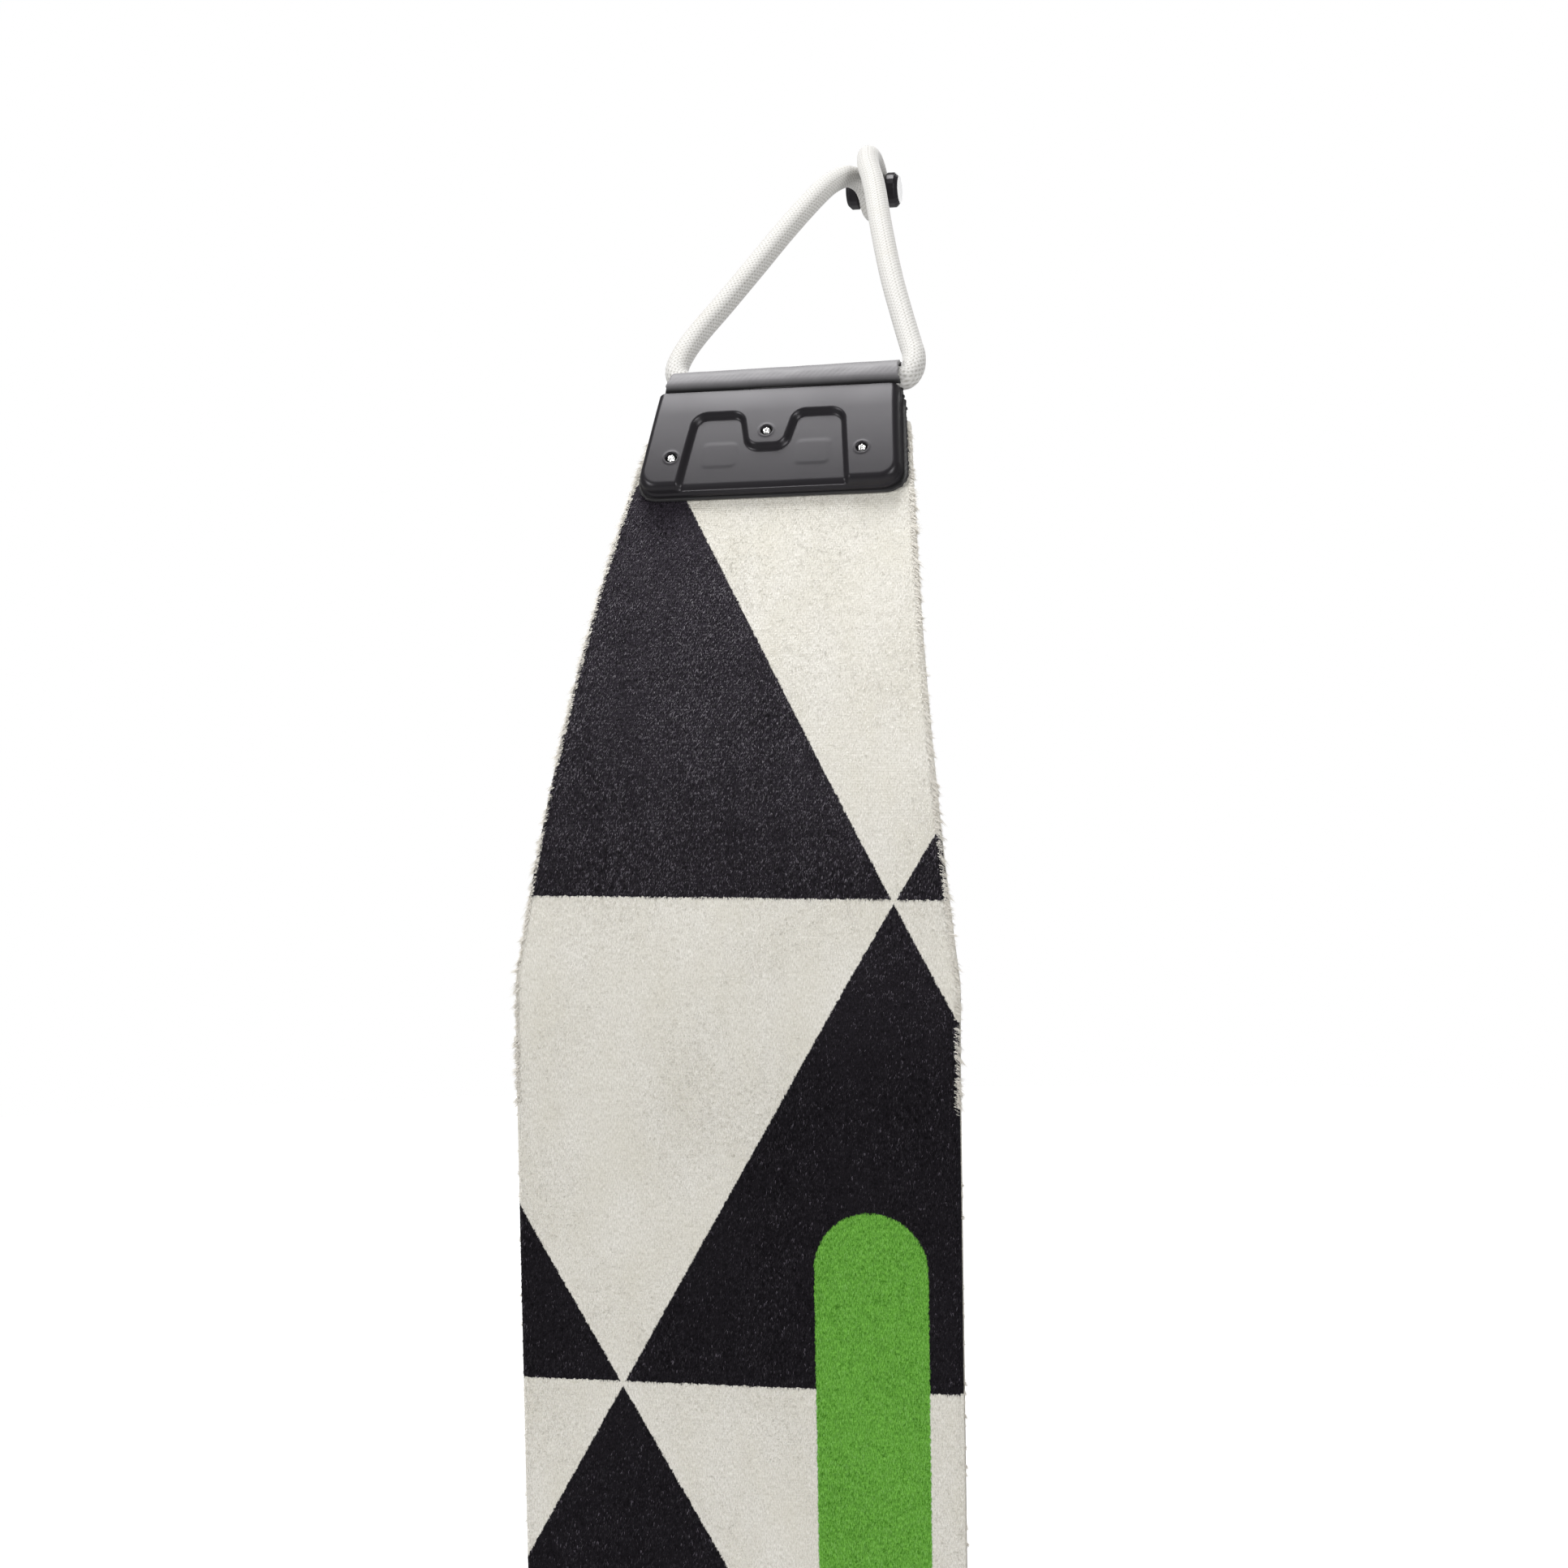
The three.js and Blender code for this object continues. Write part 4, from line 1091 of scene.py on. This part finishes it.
# ---- tail kit ----------------------------------------
def add_strap():
    """Webbing that runs down through the buckle, round the hook's bar and a little way back up."""
    turns = np.radians(np.linspace(180, 360, 24))
    ring = np.stack([
        HOOK_BAR_Y + STRAP_LOOP * np.cos(turns), HOOK_Z + STRAP_LOOP * np.sin(turns)
    ], axis=-1)
    down = np.stack([
        np.full(280, STRAP_MIDDLE), np.linspace(STRAP_TOP, HOOK_Z, 280, endpoint=False)
    ], axis=-1)
    back = np.stack([
        np.full(20, HOOK_BAR_Y + STRAP_LOOP), np.linspace(HOOK_Z, HOOK_Z + STRAP_FOLD_UP, 21)[1:]
    ], axis=-1)
    profile = np.vstack([down, ring, back])
    x = np.linspace(-STRAP_HALF, STRAP_HALF, 40)[None, :]
    points = np.stack(np.broadcast_arrays(x, profile[:, :1], profile[:, 1:]), axis=-1)
    faces = grid_faces(*points.shape[:2])
    strap = new_mesh("strap_webbing", points.reshape(-1, 3), faces)
    store_cloth(strap, x, distances(profile)[:, None])
    thicken(strap, STRAP_THICKNESS)
    dress(strap, webbing_material())
    stand_in(strap, "strap", "tail_strap")


def rounded_rectangle(half, height, corner, count):
    """Points round a rectangle that starts and ends at the middle of its top side, beside a seam."""
    seam = 0.2 * MM
    turns = np.linspace(0, math.pi / 2, 8)
    corners = [
        (half - corner, corner, -math.pi / 2), (half - corner, height - corner, 0),
        (-half + corner, height - corner, math.pi / 2), (-half + corner, corner, math.pi),
    ]
    outline = [(seam, 0.0)]
    for x, y, start in corners:
        outline += [
            (x + corner * math.cos(start + t), y + corner * math.sin(start + t)) for t in turns
        ]
    outline = np.array([*outline, (-seam, 0.0)])
    return resampled(outline, np.linspace(0, distances(outline)[-1], count))


def add_hook():
    """Bent wire: a rounded rectangle rolled into a J."""
    bent = math.pi * HOOK_BEND
    flat = rounded_rectangle(HOOK_HALF, HOOK_LEG + bent + HOOK_UPTURN, HOOK_CORNER, 240)
    across, down = flat.T
    turn = np.clip((down - HOOK_LEG) / HOOK_BEND, 0, math.pi)
    straight = np.minimum(down, HOOK_LEG)
    up = np.maximum(down - HOOK_LEG - bent, 0)
    local = np.stack([
        across, HOOK_BEND * (1 - np.cos(turn)), -straight - HOOK_BEND * np.sin(turn) + up
    ], axis=-1)
    swing = np.array(Matrix.Rotation(-HOOK_HANG, 3, "X"))
    path = local @ swing.T + np.array([0, HOOK_BAR_Y, HOOK_Z])
    hook = tube("hook_wire", path, HOOK_WIRE, 20)
    dress(hook, steel)
    stand_in(hook, "hook", "tail_hook")


add_strap()
add_hook()
for name in ("tail_plate_outer", "buckle_frame", "cam_lever", "strap_tab"):
    dress(nodes[name], moulded)
for name in ("tail_plate_inner", "lever_pin", "tail_rivet_upper_left", "tail_rivet_upper_right",
             "tail_rivet_lower_left", "tail_rivet_lower_right"):
    dress(nodes[name], steel)


# ---- stage -------------------------------------------
def add_floor():
    """A pale floor, low enough for the tail strap let right out and its hook."""
    slide = next(joint for joint in frame["joints"] if joint["name"] == "strap_slide")
    reach = max(abs(limit) for limit in slide["range_m"])
    radius, sides, z = 9.0, 96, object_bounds()[0][2] - reach - 12 * MM
    ring = [
        (radius * math.cos(a), radius * math.sin(a), z)
        for a in np.linspace(0, 2 * math.pi, sides, endpoint=False)
    ]
    floor = new_mesh("floor", ring, [tuple(range(sides))], smooth=False)
    shader = Shader("floor", Roughness=0.7, Emission_Color=(1, 1, 1, 1))
    place = shader.place()
    shader.color(shader.mix(shader.noise(place, 3.0), (0.80, 0.80, 0.80, 1), (0.84, 0.84, 0.84, 1)))
    # Away from the part the floor goes over into the white background.
    split = shader.node("ShaderNodeSeparateXYZ", {"Vector": place})
    squares = shader.math(
        "ADD", shader.math("POWER", split.outputs["X"], 2.0),
        shader.math("POWER", split.outputs["Y"], 2.0),
    )
    far = shader.ramp(shader.math("SQRT", squares), 0.25, 1.6)
    seen = shader.node("ShaderNodeLightPath").outputs["Is Camera Ray"]
    shader.plug(shader.math("MULTIPLY", far, seen), shader.surface.inputs["Emission Strength"])
    dress(floor, shader)


def add_softbox(name, place, target, size, watts):
    data = bpy.data.lights.new(name, "AREA")
    data.shape = "RECTANGLE"
    data.size, data.size_y = size
    data.energy = watts
    light = bpy.data.objects.new(name, data)
    light.location = place
    aim = Vector(target) - Vector(place)
    light.rotation_euler = aim.to_track_quat("-Z", "Y").to_euler()
    bpy.context.scene.collection.objects.link(light)


def add_world():
    world = bpy.data.worlds.new("studio")
    world.use_nodes = True
    tree = world.node_tree
    background = tree.nodes["Background"]
    background.inputs["Color"].default_value = (1, 1, 1, 1)
    seen = tree.nodes.new("ShaderNodeLightPath")
    strength = tree.nodes.new("ShaderNodeMapRange")
    strength.inputs["To Min"].default_value = 0.22
    strength.inputs["To Max"].default_value = 1.0
    tree.links.new(seen.outputs["Is Camera Ray"], strength.inputs["Value"])
    tree.links.new(strength.outputs["Result"], background.inputs["Strength"])
    bpy.context.scene.world = world


add_floor()
add_softbox("overhead", (-0.42, 0.18, 1.95), (0, 0.06, 0.2), (1.1, 0.8), 40)
add_softbox("left", (-2.0, -2.0, 0.7), (0, 0, 0), (0.9, 1.6), 46)
add_softbox("right", (2.3, -1.7, 0.7), (0, 0, 0), (0.9, 1.6), 46)
add_softbox("behind", (0.3, 2.6, 0.6), (0, 0, -0.4), (1.2, 1.8), 30)
add_world()
bpy.context.scene.view_settings.view_transform = "Standard"
bpy.context.scene.view_settings.look = "None"
